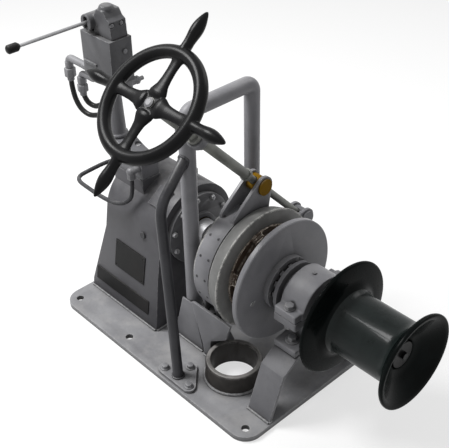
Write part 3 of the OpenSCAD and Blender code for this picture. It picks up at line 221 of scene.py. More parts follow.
class Effects:
    """The node groups that the finishes share, each built once.

    A pair is the stretch of a value over which an effect comes in. Scales count waves in a
    metre, and reaches are in metres.
    """

    EDGE_SAMPLES = 4
    EDGE_COSINE = (0.985, 0.86)
    AIR_REACH = 0.012
    AIR = (0.55, 0.86)
    CHIP_SCALE = 60.0
    CHIPS = (0.38, 0.56)
    PATCHES = (0.32, 0.68)
    SPECKS = (0.60, 0.72)
    SPECK_SCALE = 0.45
    PATCH_HEIGHT = 0.8
    # Painted shade in corners: ambient occlusion over the reach below darkens them, broken up by clouds.
    SHADE_SAMPLES = 6
    SHADE_REACH = 0.05
    CLOUD_SCALE = 14.0
    CLOUD_SHARE = 0.35
    CORNER_SHADE_RAMP = (0.18, 0.75)
    UPWARD = (0.35, 0.98)
    DUST = (0.42, 0.66)

    def __init__(self) -> None:
        """Builds the groups: edge wear that also paints edge highlights, grain, and painted corner shade with
        dust.
        """
        self.groups = (self._wear_and_highlight(), self._grain(), self._shade_and_dust())

    @staticmethod
    def _group(name: str, inputs: Sequence[str], outputs: Sequence[str]) -> tuple[Graph, Node, Node]:
        """Makes a node group, where Vector and Normal are vectors and all else numbers.

        Args:
            name: the group's name.
            inputs: the names of its inputs.
            outputs: the names of its outputs.

        Returns:
            Its graph, its input node and its output node.
        """
        tree = bpy.data.node_groups.new(name, "ShaderNodeTree")
        for way, labels in (("INPUT", inputs), ("OUTPUT", outputs)):
            for label in labels:
                kind = "NodeSocketVector" if label in ("Vector", "Normal") else "NodeSocketFloat"
                tree.interface.new_socket(name=label, in_out=way, socket_type=kind)
        graph = Graph(tree)
        return graph, graph.node("NodeGroupInput"), graph.node("NodeGroupOutput")

    def _wear_and_highlight(self) -> Tree:
        """Rounds edges in the shading and finds the convex ones that are lightened: rubbed bare, and in part
        a painted edge highlight.

        Returns:
            The group.
        """
        g, source, sink = self._group("edge_wear_and_highlight", ("Vector", "Round", "Width"), ("Mask", "Normal"))
        soft = g.wire("Bevel", {"Radius": source.outputs["Round"]}, samples=self.EDGE_SAMPLES)
        wide = g.wire("Bevel", {"Radius": source.outputs["Width"]}, samples=self.EDGE_SAMPLES)
        face = g.node("NewGeometry").outputs["True Normal"]
        cosine = g.wire("VectorMath", {0: wide, 1: face}, "Value", operation="DOT_PRODUCT")
        air = g.wire("AmbientOcclusion", {"Distance": self.AIR_REACH}, "AO", samples=self.EDGE_SAMPLES)
        chips = g.ramp(g.noise(source.outputs["Vector"], self.CHIP_SCALE, 5.0, 0.65), self.CHIPS)
        edge = g.math("MULTIPLY", g.ramp(cosine, self.EDGE_COSINE), g.ramp(air, self.AIR))
        g.feed(sink.inputs["Mask"], g.math("MULTIPLY", edge, chips, clamp=True))
        g.feed(sink.inputs["Normal"], soft)
        return g.tree

    def _grain(self) -> Tree:
        """Makes colour patches, fine specks and the height of a sprayed or cast skin.

        Returns:
            The group.
        """
        g, source, sink = self._group(
            "surface_grain", ("Vector", "Patch Scale", "Skin Scale"), ("Patches", "Specks", "Height"))
        vector, patch_scale, skin_scale = source.outputs[:3]
        broad = g.noise(vector, patch_scale, 6.0, 0.6, 0.4)
        fine = g.noise(vector, g.math("MULTIPLY", skin_scale, self.SPECK_SCALE), 3.0, 0.6)
        skin = g.noise(vector, skin_scale, 2.0, 0.5)
        g.feed(sink.inputs["Patches"], g.ramp(broad, self.PATCHES))
        g.feed(sink.inputs["Specks"], g.ramp(fine, self.SPECKS))
        g.feed(sink.inputs["Height"], g.math("ADD", skin, g.math("MULTIPLY", broad, self.PATCH_HEIGHT)))
        return g.tree

    def _shade_and_dust(self) -> Tree:
        """Makes painted shade in the corners, darkened from ambient occlusion and broken up by noise, and
        pale dust on what faces up.

        Returns:
            The group.
        """
        g, source, sink = self._group("dust_and_corner_shade", ("Vector",), ("Corner Shade", "Dust"))
        air = g.wire("AmbientOcclusion", {"Distance": self.SHADE_REACH}, "AO", samples=self.SHADE_SAMPLES)
        clouds = g.noise(source.outputs["Vector"], self.CLOUD_SCALE, 5.0, 0.6)
        ragged = g.math("MULTIPLY", g.math("SUBTRACT", clouds, 0.5), self.CLOUD_SHARE)
        corner = g.math("ADD", g.math("SUBTRACT", 1.0, air), ragged)
        g.feed(sink.inputs["Corner Shade"], g.ramp(corner, self.CORNER_SHADE_RAMP))
        height = g.wire("SeparateXYZ", {0: g.node("NewGeometry").outputs["Normal"]}, "Z")
        up = g.ramp(height, self.UPWARD)
        g.feed(sink.inputs["Dust"], g.math("MULTIPLY", up, g.ramp(clouds, self.DUST), clamp=True))
        return g.tree


@dataclass(frozen=True)
class Finish:
    """One finish: its colours and how strong each effect is on it."""

    name: str
    base: Colour
    tint: Colour
    # This colour goes on the rubbed edges, which stand in part for painted edge highlights.
    edge: Colour
    # This colour goes on the specks and also on the painted shade in corners.
    dirt_and_shade: Colour = (0.03, 0.028, 0.026)
    dust: Colour = (0.42, 0.41, 0.40)
    roughness: float = 0.42
    spread: float = 0.14
    dirt_roughness: float = 0.2
    metallic: float = 0.0
    edge_metallic: float = 0.0
    bare: Pair = (0.0, 0.6)
    specular: float = 0.28
    coat: float = 0.0
    coat_roughness: float = 0.1
    round_r: float = 0.002
    wear_and_highlight_width: float = 0.004
    wear_and_highlight: float = 0.55
    # How strong the painted corner shade is.
    corner_shade: float = 0.6
    dusting: float = 0.18
    specks: float = 0.15
    patch_scale: float = 9.0
    skin_scale: float = 420.0
    bump: float = 0.12
    bump_depth: float = 0.0006

    def material(self, effects: Effects) -> bpy.types.Material:
        """Builds the material.

        Args:
            effects: the shared node groups.

        Returns:
            The material.
        """
        made = bpy.data.materials.new(self.name)
        g = Graph.blank(made)
        place = g.node("TexCoord").outputs["Object"]
        wear_and_highlight, grain, shade_and_dust = (g.node("Group", node_tree=tree) for tree in effects.groups)
        for group in (wear_and_highlight, grain, shade_and_dust):
            g.feed(group.inputs["Vector"], place)
        g.feed(wear_and_highlight.inputs["Round"], self.round_r)
        g.feed(wear_and_highlight.inputs["Width"], self.wear_and_highlight_width)
        g.feed(grain.inputs["Patch Scale"], self.patch_scale)
        g.feed(grain.inputs["Skin Scale"], self.skin_scale)
        rub_and_highlight = g.math("MULTIPLY", wear_and_highlight.outputs["Mask"], self.wear_and_highlight)
        colour = g.mix(grain.outputs["Patches"], self.base, self.tint)
        colour = g.mix(g.math("MULTIPLY", grain.outputs["Specks"], self.specks), colour, self.dirt_and_shade)
        colour = g.mix(g.math("MULTIPLY", shade_and_dust.outputs["Dust"], self.dusting), colour, self.dust)
        # Painted shade: corners darken towards the dirt colour wherever ambient occlusion finds them.
        colour = g.mix(g.math("MULTIPLY", shade_and_dust.outputs["Corner Shade"], self.corner_shade), colour, self.dirt_and_shade)
        half = self.spread / 2
        rough = g.ramp(grain.outputs["Patches"], (0.0, 1.0), (self.roughness - half, self.roughness + half))
        dull = g.math("MULTIPLY", shade_and_dust.outputs["Corner Shade"], self.dirt_roughness)
        bump = {"Strength": self.bump, "Distance": self.bump_depth, "Height": grain.outputs["Height"],
                "Normal": wear_and_highlight.outputs["Normal"]}
        metal = self.metallic
        if self.edge_metallic:
            metal = g.ramp(rub_and_highlight, self.bare, (self.metallic, self.edge_metallic))
        # On convex edges the edge colour is rubbed paint and, in part, a painted highlight.
        shader = g.wire("BsdfPrincipled", {
            "Base Color": g.mix(rub_and_highlight, colour, self.edge),
            "Roughness": g.math("ADD", rough, dull, clamp=True),
            "Metallic": metal,
            "Specular IOR Level": self.specular,
            "Coat Weight": self.coat,
            "Coat Roughness": self.coat_roughness,
            "Normal": g.wire("Bump", bump),
        })
        g.feed(g.node("OutputMaterial").inputs["Surface"], shader)
        return made


class Look(Enum):
    """Every finish on the winch: its name, its two shades, its edges, rubbed and in part painted as
    highlights, and its effects.
    """

    HOUSING = Finish(
        "housing_grey", (0.062, 0.061, 0.067), (0.088, 0.087, 0.094), (0.36, 0.36, 0.37), roughness=0.46)
    PAINT = Finish("satin_grey", (0.145, 0.145, 0.155), (0.19, 0.19, 0.201), (0.5, 0.5, 0.51))
    PALE = Finish(
        "pale_grey", (0.205, 0.204, 0.218), (0.252, 0.251, 0.266), (0.62, 0.62, 0.63), roughness=0.4)
    VALVE = Finish(
        "valve_grey", (0.074, 0.074, 0.079), (0.104, 0.104, 0.11), (0.46, 0.46, 0.47), roughness=0.4)
    DECK = Finish(
        "deck_grey", (0.215, 0.215, 0.225), (0.3, 0.3, 0.31), (0.6, 0.6, 0.6),
        patch_scale=5.0, dusting=0.3, corner_shade=0.8)
    # Painted shade: the stay's grey is darkened for the side that faces away from the light.
    STAY = Finish(
        "stay_painted_shade_grey", (0.026, 0.026, 0.03), (0.042, 0.042, 0.047), (0.2, 0.2, 0.21), roughness=0.38)
    DARK = Finish("dark_grey", (0.03, 0.03, 0.033), (0.05, 0.05, 0.054), (0.26, 0.26, 0.27), specular=0.2)
    COVER = Finish(
        "cover_grey", (0.115, 0.115, 0.122), (0.16, 0.16, 0.168), (0.34, 0.34, 0.35),
        roughness=0.4, specular=0.4)
    BLACK = Finish(
        "satin_black", (0.004, 0.004, 0.0044), (0.0075, 0.0075, 0.008), (0.07, 0.07, 0.072),
        roughness=0.31, spread=0.08, dirt_and_shade=(0.003, 0.003, 0.003), wear_and_highlight=0.25, dusting=0.0, specular=0.1)
    GLOSS = Finish(
        "glossy_dark_green", (0.0022, 0.0032, 0.0031), (0.0042, 0.0062, 0.006), (0.1, 0.12, 0.115),
        roughness=0.27, dirt_and_shade=(0.0018, 0.0024, 0.0023), spread=0.08, coat=0.035, coat_roughness=0.07,
        wear_and_highlight=0.3, dusting=0.0, bump=0.05, round_r=0.003, specular=0.02)
    # Painted sheen: the barrel is a lighter green than the flanges, for the broad reflection it shows.
    BARREL_SHEEN = Finish(
        "barrel_sheen_green", (0.009, 0.0125, 0.012), (0.018, 0.0235, 0.0228), (0.1, 0.12, 0.115),
        roughness=0.3, dirt_and_shade=(0.004, 0.005, 0.005), spread=0.12, coat=0.1, coat_roughness=0.09,
        wear_and_highlight=0.35, dusting=0.0, bump=0.05, round_r=0.003, specular=0.08)
    STEEL = Finish(
        "zinc_steel", (0.3, 0.3, 0.31), (0.42, 0.42, 0.43), (0.75, 0.75, 0.75),
        metallic=0.6, roughness=0.44, specks=0.3, dusting=0.1)
    ZINC = Finish(
        "zinc_grey", (0.15, 0.15, 0.158), (0.23, 0.23, 0.24), (0.5, 0.5, 0.5),
        metallic=0.2, roughness=0.48, specks=0.3, dusting=0.12)
    SPINDLE = Finish(
        "greenish_grey", (0.155, 0.158, 0.146), (0.245, 0.248, 0.228), (0.4, 0.4, 0.38),
        metallic=0.15, roughness=0.44, specks=0.2, patch_scale=14.0)
    # The drum's wide pale edges are rubbed paint and, in part, a painted highlight on its top-lit rim.
    DRUM = Finish(
        "drum_grey", (0.2, 0.2, 0.196), (0.27, 0.27, 0.262), (0.8, 0.79, 0.75),
        roughness=0.4, corner_shade=0.8, wear_and_highlight=1.0, wear_and_highlight_width=0.011)
    BRASS = Finish(
        "yellow_brass", (0.165, 0.08, 0.001), (0.235, 0.128, 0.003), (0.5, 0.33, 0.06),
        roughness=0.5, corner_shade=0.85, specular=0.06)
    IRON = Finish(
        "rusty_iron", (0.034, 0.022, 0.016), (0.08, 0.052, 0.036), (0.66, 0.6, 0.52),
        roughness=0.66, spread=0.2, edge_metallic=0.7, wear_and_highlight=1.0, wear_and_highlight_width=0.008, patch_scale=26.0,
        bump=0.5, bump_depth=0.001, dusting=0.0)
    PIPE = Finish(
        "worn_dark_iron", (0.02, 0.018, 0.017), (0.042, 0.038, 0.035), (0.36, 0.35, 0.34),
        roughness=0.58, spread=0.2, wear_and_highlight=1.0, wear_and_highlight_width=0.009, patch_scale=20.0,
        bump=0.3, bump_depth=0.0009, corner_shade=0.85)
    WORN = Finish(
        "worn_bright_iron", (0.16, 0.155, 0.15), (0.26, 0.25, 0.24), (0.5, 0.49, 0.47),
        metallic=0.3, roughness=0.5, specks=0.4, patch_scale=26.0, bump=0.3, bump_depth=0.0008)
    PLATE = Finish(
        "plate_black", (0.01, 0.01, 0.01), (0.02, 0.019, 0.019), (0.1, 0.1, 0.1),
        roughness=0.46, wear_and_highlight=0.4, specular=0.1)
    LINING = Finish(
        "woven_lining", (0.1, 0.075, 0.055), (0.14, 0.11, 0.08), (0.2, 0.16, 0.12), roughness=0.8, wear_and_highlight=0.2)
    RUBBER = Finish(
        "hose_rubber", (0.008, 0.008, 0.008), (0.013, 0.013, 0.013), (0.05, 0.05, 0.05),
        roughness=0.34, wear_and_highlight=0.1, dusting=0.06, dust=(0.06, 0.06, 0.06), specular=0.2)
    KNOB = Finish(
        "black_plastic", (0.006, 0.006, 0.006), (0.01, 0.01, 0.01), (0.04, 0.04, 0.04),
        wear_and_highlight=0.2, specular=0.15)


NODE_LOOKS: dict[Look, str] = {
    Look.HOUSING: "gear_housing case_end_cap",
    Look.PAINT: "frame_shoes spindle_bearing anchor_bracket trestle bearing_base trunnion_rear"
                " valve_plinth valve_stand",
    Look.PALE: "bearing_cap outer_cheek band_front band_rear tube_frame clutch_sleeve clutch_ring",
    Look.VALVE: "valve_block valve_bonnet",
    Look.DECK: "deck_plate",
    Look.STAY: "bent_stay",
    Look.COVER: "shaft_cover",
    Look.DARK: "hydraulic_motor motor_pipes case_fittings",
    Look.BLACK: "handwheel head_cap",
    Look.GLOSS: "warping_head",
    Look.STEEL: "case_bolts main_shaft shaft_keys main_gear pinion cheek_bolts anchor_pin lever_pin"
                " valve_spool valve_lever",
    Look.ZINC: "stay_bolts bearing_bolts bonnet_screws relief_valve hose_fittings pipe_nuts wheel_nut",
    Look.SPINDLE: "brake_spindle",
    Look.DRUM: "brake_drum",
    Look.BRASS: "case_bush drum_bushes bearing_bush trunnion_front",
    Look.IRON: "chain_wheel",
    Look.PIPE: "chain_pipe",
    Look.PLATE: "name_plate",
    Look.LINING: "lining_front lining_rear",
    Look.RUBBER: "supply_hose return_hose",
    Look.KNOB: "lever_knob",
}


class Wardrobe:
    """Holds each finish's material."""

    def __init__(self) -> None:
        """Starts empty."""
        self._made: dict[Look, bpy.types.Material] = {}

    def make(self) -> None:
        """Builds every material once."""
        effects = Effects()
        self._made = {look: look.value.material(effects) for look in Look}

    def get(self, look: Look) -> bpy.types.Material:
        """Returns a finish's material."""
        return self._made[look]

    def dress_nodes(self) -> None:
        """Gives every CAD node its material."""
        for look, names in NODE_LOOKS.items():
            for name in names.split():
                mesh = frame["nodes"][name].data
                mesh.materials.clear()
                mesh.materials.append(self._made[look])


WARDROBE = Wardrobe()


def along(origin: Point, axis: Point, side: Point = Z_AXIS) -> Matrix:
    """Finds the placement whose local Z runs along an axis and whose X is square to side.

    Args:
        origin: where local zero goes, in millimetres.
        axis: the direction of local Z.
        side: a direction that local X stands square to. An axis along it keeps X as it is.

    Returns:
        The placement.
    """
    z = Vector(axis).normalized()
    x = Vector(side).cross(z)
    x = x.normalized() if x.length > TINY else Vector(X_AXIS)
    return Matrix.Translation(origin) @ Matrix((x, z.cross(x), z)).transposed().to_4x4()


def arc(
    centre: Point, radius: float, steps: int, u: Point = X_AXIS, v: Point = Y_AXIS, span: Pair = (0.0, 360.0),
) -> list[Vector]:
    """Lays points on an arc from u, its zero angle, towards v, its quarter turn. Span is in degrees."""
    angles = (math.radians(span[0] + (span[1] - span[0]) * k / steps) for k in range(steps + 1))
    return [Vector(centre) + radius * (math.cos(a) * Vector(u) + math.sin(a) * Vector(v)) for a in angles]


def smooth_path(points: Sequence[Point], steps: int = 6) -> list[Vector]:
    """Lays a smooth curve through given points, as the CAD routes have.

    Args:
        points: the route, in millimetres.
        steps: how many points each span gets.

    Returns:
        The points of the curve.
    """
    knots = [Vector(p) for p in (points[0], *points, points[-1])]
    made = []
    for a, b, c, d in zip(knots, knots[1:], knots[2:], knots[3:]):
        slope, curl, twist = c - a, 2 * a - 5 * b + 4 * c - d, 3 * b - a - 3 * c + d
        for t in (k / steps for k in range(steps)):
            made.append(0.5 * (2 * b + slope * t + curl * t * t + twist * t ** 3))
    return made + [knots[-1]]


def stand(name: str, data: bpy.types.ID) -> Piece:
    """Makes an object and puts it into the scene.

    Args:
        name: its name.
        data: its mesh, curve, lamp or camera.

    Returns:
        The object.
    """
    made = bpy.data.objects.new(name, data)
    bpy.context.scene.collection.objects.link(made)
    return made


def melt_down(holder: Piece) -> Shape:
    """Takes an object's shape with its modifiers, and removes the object.

    Args:
        holder: the object.

    Returns:
        The shape.
    """
    graph = bpy.context.evaluated_depsgraph_get()
    mesh = bpy.data.meshes.new_from_object(holder.evaluated_get(graph))
    made = bmesh.new()
    made.from_mesh(mesh)
    bpy.data.batch_remove([holder.data, holder, mesh])
    return made


def bevel(part: Shape, geom: Sequence[object], width: float, segments: int, affect: str = "EDGES") -> None:
    """Rounds edges of a shape, or corners with VERTICES, by a width and so many faces."""
    bmesh.ops.bevel(part, geom=geom, offset=width, offset_type="OFFSET", segments=segments, profile=0.5,
                    affect=affect, clamp_overlap=True, material=-1)


def repaint(piece: Piece, look: Look, chosen: Callable[[bpy.types.MeshPolygon], bool]) -> None:
    """Gives some faces of a piece a second finish.

    Args:
        piece: the piece.
        look: the second finish.
        chosen: tells whether a face gets it.
    """
    piece.data.materials.append(WARDROBE.get(look))
    for face in piece.data.polygons:
        if chosen(face):
            face.material_index = 1


class Mould:
    """One piece in the making: a mesh in millimetres that becomes an object."""

    BEAD_RIPPLE = 0.13
    BEAD_DRIFT = 0.08
    BEAD_STEP = 0.7

    def __init__(self, name: str) -> None:
        """Starts an empty piece."""
        self.name = name
        self.bm = bmesh.new()

    def _take(self, part: Shape, place: Matrix | None = None) -> None:
        """Adds a finished shape to the piece and frees it.

        Args:
            part: the shape.
            place: where it goes.
        """
        if place is not None:
            bmesh.ops.transform(part, matrix=place, verts=part.verts)
        mesh = bpy.data.meshes.new("part")
        part.to_mesh(mesh)
        part.free()
        self.bm.from_mesh(mesh)
        bpy.data.meshes.remove(mesh)

    def turned(self, profile: Profile, place: Matrix, steps: int = 64, closed: bool = False) -> "Mould":
        """Spins a profile round local Z.

        Args:
            profile: height, radius and, where a corner is rounded, its fillet.
            place: where the shape goes.
            steps: segments of the turn.
            closed: whether the last point joins the first, as round a bore.

        Returns:
            The piece.
        """
        part = bmesh.new()
        verts = [part.verts.new((row[1], 0.0, row[0])) for row in profile]
        for pair in zip(verts, verts[1:] + verts[:1] if closed else verts[1:]):
            part.edges.new(pair)
        for vert, row in zip(verts, profile):
            if len(row) > 2:
                bevel(part, [vert], row[2], 5, "VERTICES")
        bmesh.ops.spin(part, geom=part.verts[:] + part.edges[:], cent=(0, 0, 0), axis=(0, 0, 1),
                       angle=2 * math.pi, steps=steps, use_merge=True, use_duplicate=False)
        bmesh.ops.remove_doubles(part, verts=part.verts, dist=MERGE)
        bmesh.ops.recalc_face_normals(part, faces=part.faces)
        self._take(part, place)
        return self

    def bar(self, radius: float, length: float, place: Matrix, chamfer: float, steps: int) -> "Mould":
        """Adds a round bar with broken corners along local Z."""
        profile = [(0, 0), (0, radius, chamfer), (length, radius, chamfer), (length, 0)]
        return self.turned(profile, place, steps)

    def torus(self, radius: float, thick: float, place: Matrix, steps: int = 128, sides: int = 28) -> "Mould":
        """Adds a round ring about local Z."""
        turns = (2 * math.pi * k / sides for k in range(sides))
        section = [(thick * math.sin(a), radius + thick * math.cos(a)) for a in turns]
        return self.turned(section, place, steps, closed=True)

    def hexagon(self, across: float, height: float, place: Matrix, chamfer: float) -> "Mould":
        """Adds a hexagon head or nut, its corners turned down at both ends.

        Args:
            across: its size over the corners.
            height: its height along local Z.
            place: where it goes.
            chamfer: how far the corners are turned down.

        Returns:
            The piece.
        """
        part = bmesh.new()
        radius = across / 2
        bmesh.ops.create_cone(part, cap_ends=True, segments=6, radius1=radius, radius2=radius, depth=height)
        bmesh.ops.translate(part, verts=part.verts, vec=(0, 0, height / 2))
        bevel(part, part.edges[:], chamfer, 2)
        self._take(part, place)
        return self

    def tube(self, path: Sequence[Vector], radius: float | Sequence[float], sides: int = 24) -> "Mould":
        """Adds a round tube along a path, closed at its ends.

        Args:
            path: the points it follows, in millimetres.
            radius: its radius, or one for each point.
            sides: segments round it.

        Returns:
            The piece.
        """
        data = bpy.data.curves.new("path", "CURVE")
        data.dimensions = "3D"
        data.bevel_mode = "ROUND"
        data.bevel_depth = 1.0
        data.bevel_resolution = sides // 4 - 1
        data.use_fill_caps = True
        spline = data.splines.new("POLY")
        spline.points.add(len(path) - 1)
        radii = [radius] * len(path) if isinstance(radius, (int, float)) else radius
        for point, where, size in zip(spline.points, path, radii):
            point.co = (*where, 1.0)
            point.radius = size
        part = melt_down(stand("path", data))
        bmesh.ops.remove_doubles(part, verts=part.verts, dist=MERGE)
        bmesh.ops.recalc_face_normals(part, faces=part.faces)
        self._take(part)
        return self

    def bead(self, path: Sequence[Vector], radius: float, pitch: float = 4.0) -> "Mould":
        """Adds a weld bead: a tube that swells at every run of the rod.

        Args:
            path: the seam, in millimetres.
            radius: the bead's mean radius.
            pitch: the distance between its ripples.

        Returns:
            The piece.
        """
        points: list[Vector] = []
        for a, b in zip(path, path[1:]):
            count = max(1, round((b - a).length / (pitch / 2)))
            points += [a.lerp(b, k / count) for k in range(count)]
        points.append(path[-1])
        runs = range(len(points))
        swell = (self.BEAD_RIPPLE * (-1) ** k + self.BEAD_DRIFT * math.sin(k * self.BEAD_STEP) for k in runs)
        return self.tube(points, [radius * (1.0 + s) for s in swell], 12)

    def node(self, name: str) -> "Mould":
        """Adds a merged copy of a CAD node.

        Args:
            name: the node.

        Returns:
            The piece.
        """
        part = bmesh.new()
        part.from_mesh(frame["nodes"][name].data)
        bmesh.ops.scale(part, verts=part.verts, vec=(1 / MM, 1 / MM, 1 / MM))
        bmesh.ops.remove_doubles(part, verts=part.verts, dist=CAD_MERGE)
        bmesh.ops.dissolve_limit(part, angle_limit=FLAT, verts=part.verts, edges=part.edges)
        self._take(part)
        return self

    def round_edges(self, width: float, least: float = 35.0, segments: int = 3) -> "Mould":
        """Rounds the piece's sharp edges.

        Args:
            width: how far the rounding reaches.
            least: the smallest angle, in degrees, of an edge that is rounded.
            segments: faces across the rounding.

        Returns:
            The piece.
        """
        sharp = [e for e in self.bm.edges if e.is_manifold and e.calc_face_angle(0.0) > math.radians(least)]
        bevel(self.bm, sharp, width, segments)
        return self

    def fuse(self, voxel: float, passes: int) -> "Mould":
        """Melts the piece into one skin with soft inner corners, as a casting has.

        Args:
            voxel: the size of the new faces.
            passes: how often the skin is smoothed.

        Returns:
            The piece.
        """
        mesh = bpy.data.meshes.new("melt")
        self.bm.to_mesh(mesh)
        self.bm.free()
        holder = stand("melt", mesh)
        remesh = holder.modifiers.new("fuse", "REMESH")
        remesh.mode = "VOXEL"
        remesh.voxel_size = voxel
        smooth = holder.modifiers.new("smooth", "SMOOTH")
        smooth.factor = 0.5
        smooth.iterations = passes
        self.bm = melt_down(holder)
        return self

    def finish(
        self, look: Look, *nodes: str, body: Body = Body.FRAME, slot: Slot = Slot.GREY, crease: float = 34.0,
    ) -> Piece:
        """Makes the object, in metres, dressed and riding on its body.

        Args:
            look: its finish.
            nodes: the CAD nodes that it stands for.
            body: the CAD body that it moves with.
            slot: its material slot; not used.
            crease: the angle above which an edge shows as an edge.

        Returns:
            The new object.
        """
        bmesh.ops.scale(self.bm, verts=self.bm.verts, vec=(MM, MM, MM))
        mesh = bpy.data.meshes.new(self.name)
        self.bm.to_mesh(mesh)
        self.bm.free()
        mesh.shade_smooth()
        mesh.set_sharp_from_angle(angle=math.radians(crease))
        mesh.materials.append(WARDROBE.get(look))
        made = stand(self.name, mesh)
        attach(made, body.value)
        if nodes:
            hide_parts(*nodes)
        LOG.info("%s: %d faces", self.name, len(mesh.polygons))
        return made


@dataclass
class HandWheel:
    """The brake's cast handwheel with its four handles."""

    hub: Point = (119.0, -330.0, 1020.0)
    tilt: float = 42.8
    arms: int = 4
    rim: float = 151.4
    rim_r: float = 19.4
    boss: Profile = ((-17, 0), (-17, 31, 5), (7, 31, 4), (8, 0))
    spoke: Profile = (
        (17, 0), (17, 10), (25, 29), (36, 31), (46, 26), (58, 20.5), (76, 18), (102, 17), (122, 18.5),
        (134, 22), (140, 0))
    spoke_flat: float = 0.45
    handle: Profile = (
        (140, 0), (140, 10), (152, 17), (172, 15.5), (188, 15), (203, 16.4), (216, 18), (228, 18.4),
        (240, 17), (252, 14.2), (263, 10.5), (272, 7), (278, 4), (281, 0))
    voxel: float = 2.1
    passes: int = 14

    def build(self) -> None:
        """Builds rim, boss, spokes and handles as one casting."""
        face = Matrix.Translation(self.hub) @ Matrix.Rotation(math.radians(self.tilt), 4, "X")
        made = Mould("handwheel_cast").torus(self.rim, self.rim_r, face)
        made.turned(self.boss, face)
        outward = Matrix.Rotation(math.pi / 2, 4, "Y")
        for k in range(self.arms):
            arm = face @ Matrix.Rotation(2 * math.pi / self.arms * k, 4, "Z") @ outward
            made.turned(self.spoke, arm @ Matrix.Diagonal((self.spoke_flat, 1.0, 1.0, 1.0)), 40)
            made.turned(self.handle, arm, 48)
        made.fuse(self.voxel, self.passes)
        made.finish(Look.BLACK, "handwheel", body=Body.WHEEL, slot=Slot.BLACK, crease=60.0)


@dataclass
class WarpingHead:
    """The glossy rope drum on the shaft end."""

    barrel_x: Pair = (560.0, 762.0)
    barrel_r: Pair = (90.0, 106.0)
    profile: Profile = (
        (476, 35), (476, 62, 3), (514, 66, 4), (524, 120), (526, 183, 6), (538, 183, 6), (544, 132),
        (544, 98, 32), (762.4, 98, 26.5), (785, 151, 7), (800, 151, 6), (797, 137, 4), (756, 66, 10),
        (751, 46, 4), (742, 44, 2), (742, 35))

    def build(self) -> None:
        """Turns the drum and paints its barrel a lighter green than its flanges, a painted sheen."""
        shaft = along((0.0, 0.0, SHAFT_Z), X_AXIS)
        made = Mould("warping_head_cast").turned(self.profile, shaft, 180, closed=True)
        done = made.finish(Look.GLOSS, "warping_head", body=Body.SHAFT, slot=Slot.GREEN, crease=40.0)
        repaint(done, Look.BARREL_SHEEN, lambda face: self.on_barrel(*face.center / MM))

    def on_barrel(self, x: float, y: float, z: float) -> bool:
        """Tells whether a place lies between the barrel's ends and between its radii."""
        off = math.hypot(y, z - SHAFT_Z)
        return self.barrel_x[0] < x < self.barrel_x[1] and self.barrel_r[0] < off < self.barrel_r[1]


@dataclass(frozen=True)
class Nut:
    """A hexagon on a hose's fitting."""

    across: float
    height: float
    at: Point
    axis: Point = Z_AXIS
    side: Point = X_AXIS
    chamfer: float = 2.0


@dataclass(frozen=True)
class Sleeve:
    """A turned collar or crimped sleeve on a hose's fitting."""

    profile: Profile
    at: Point
    axis: Point = Z_AXIS


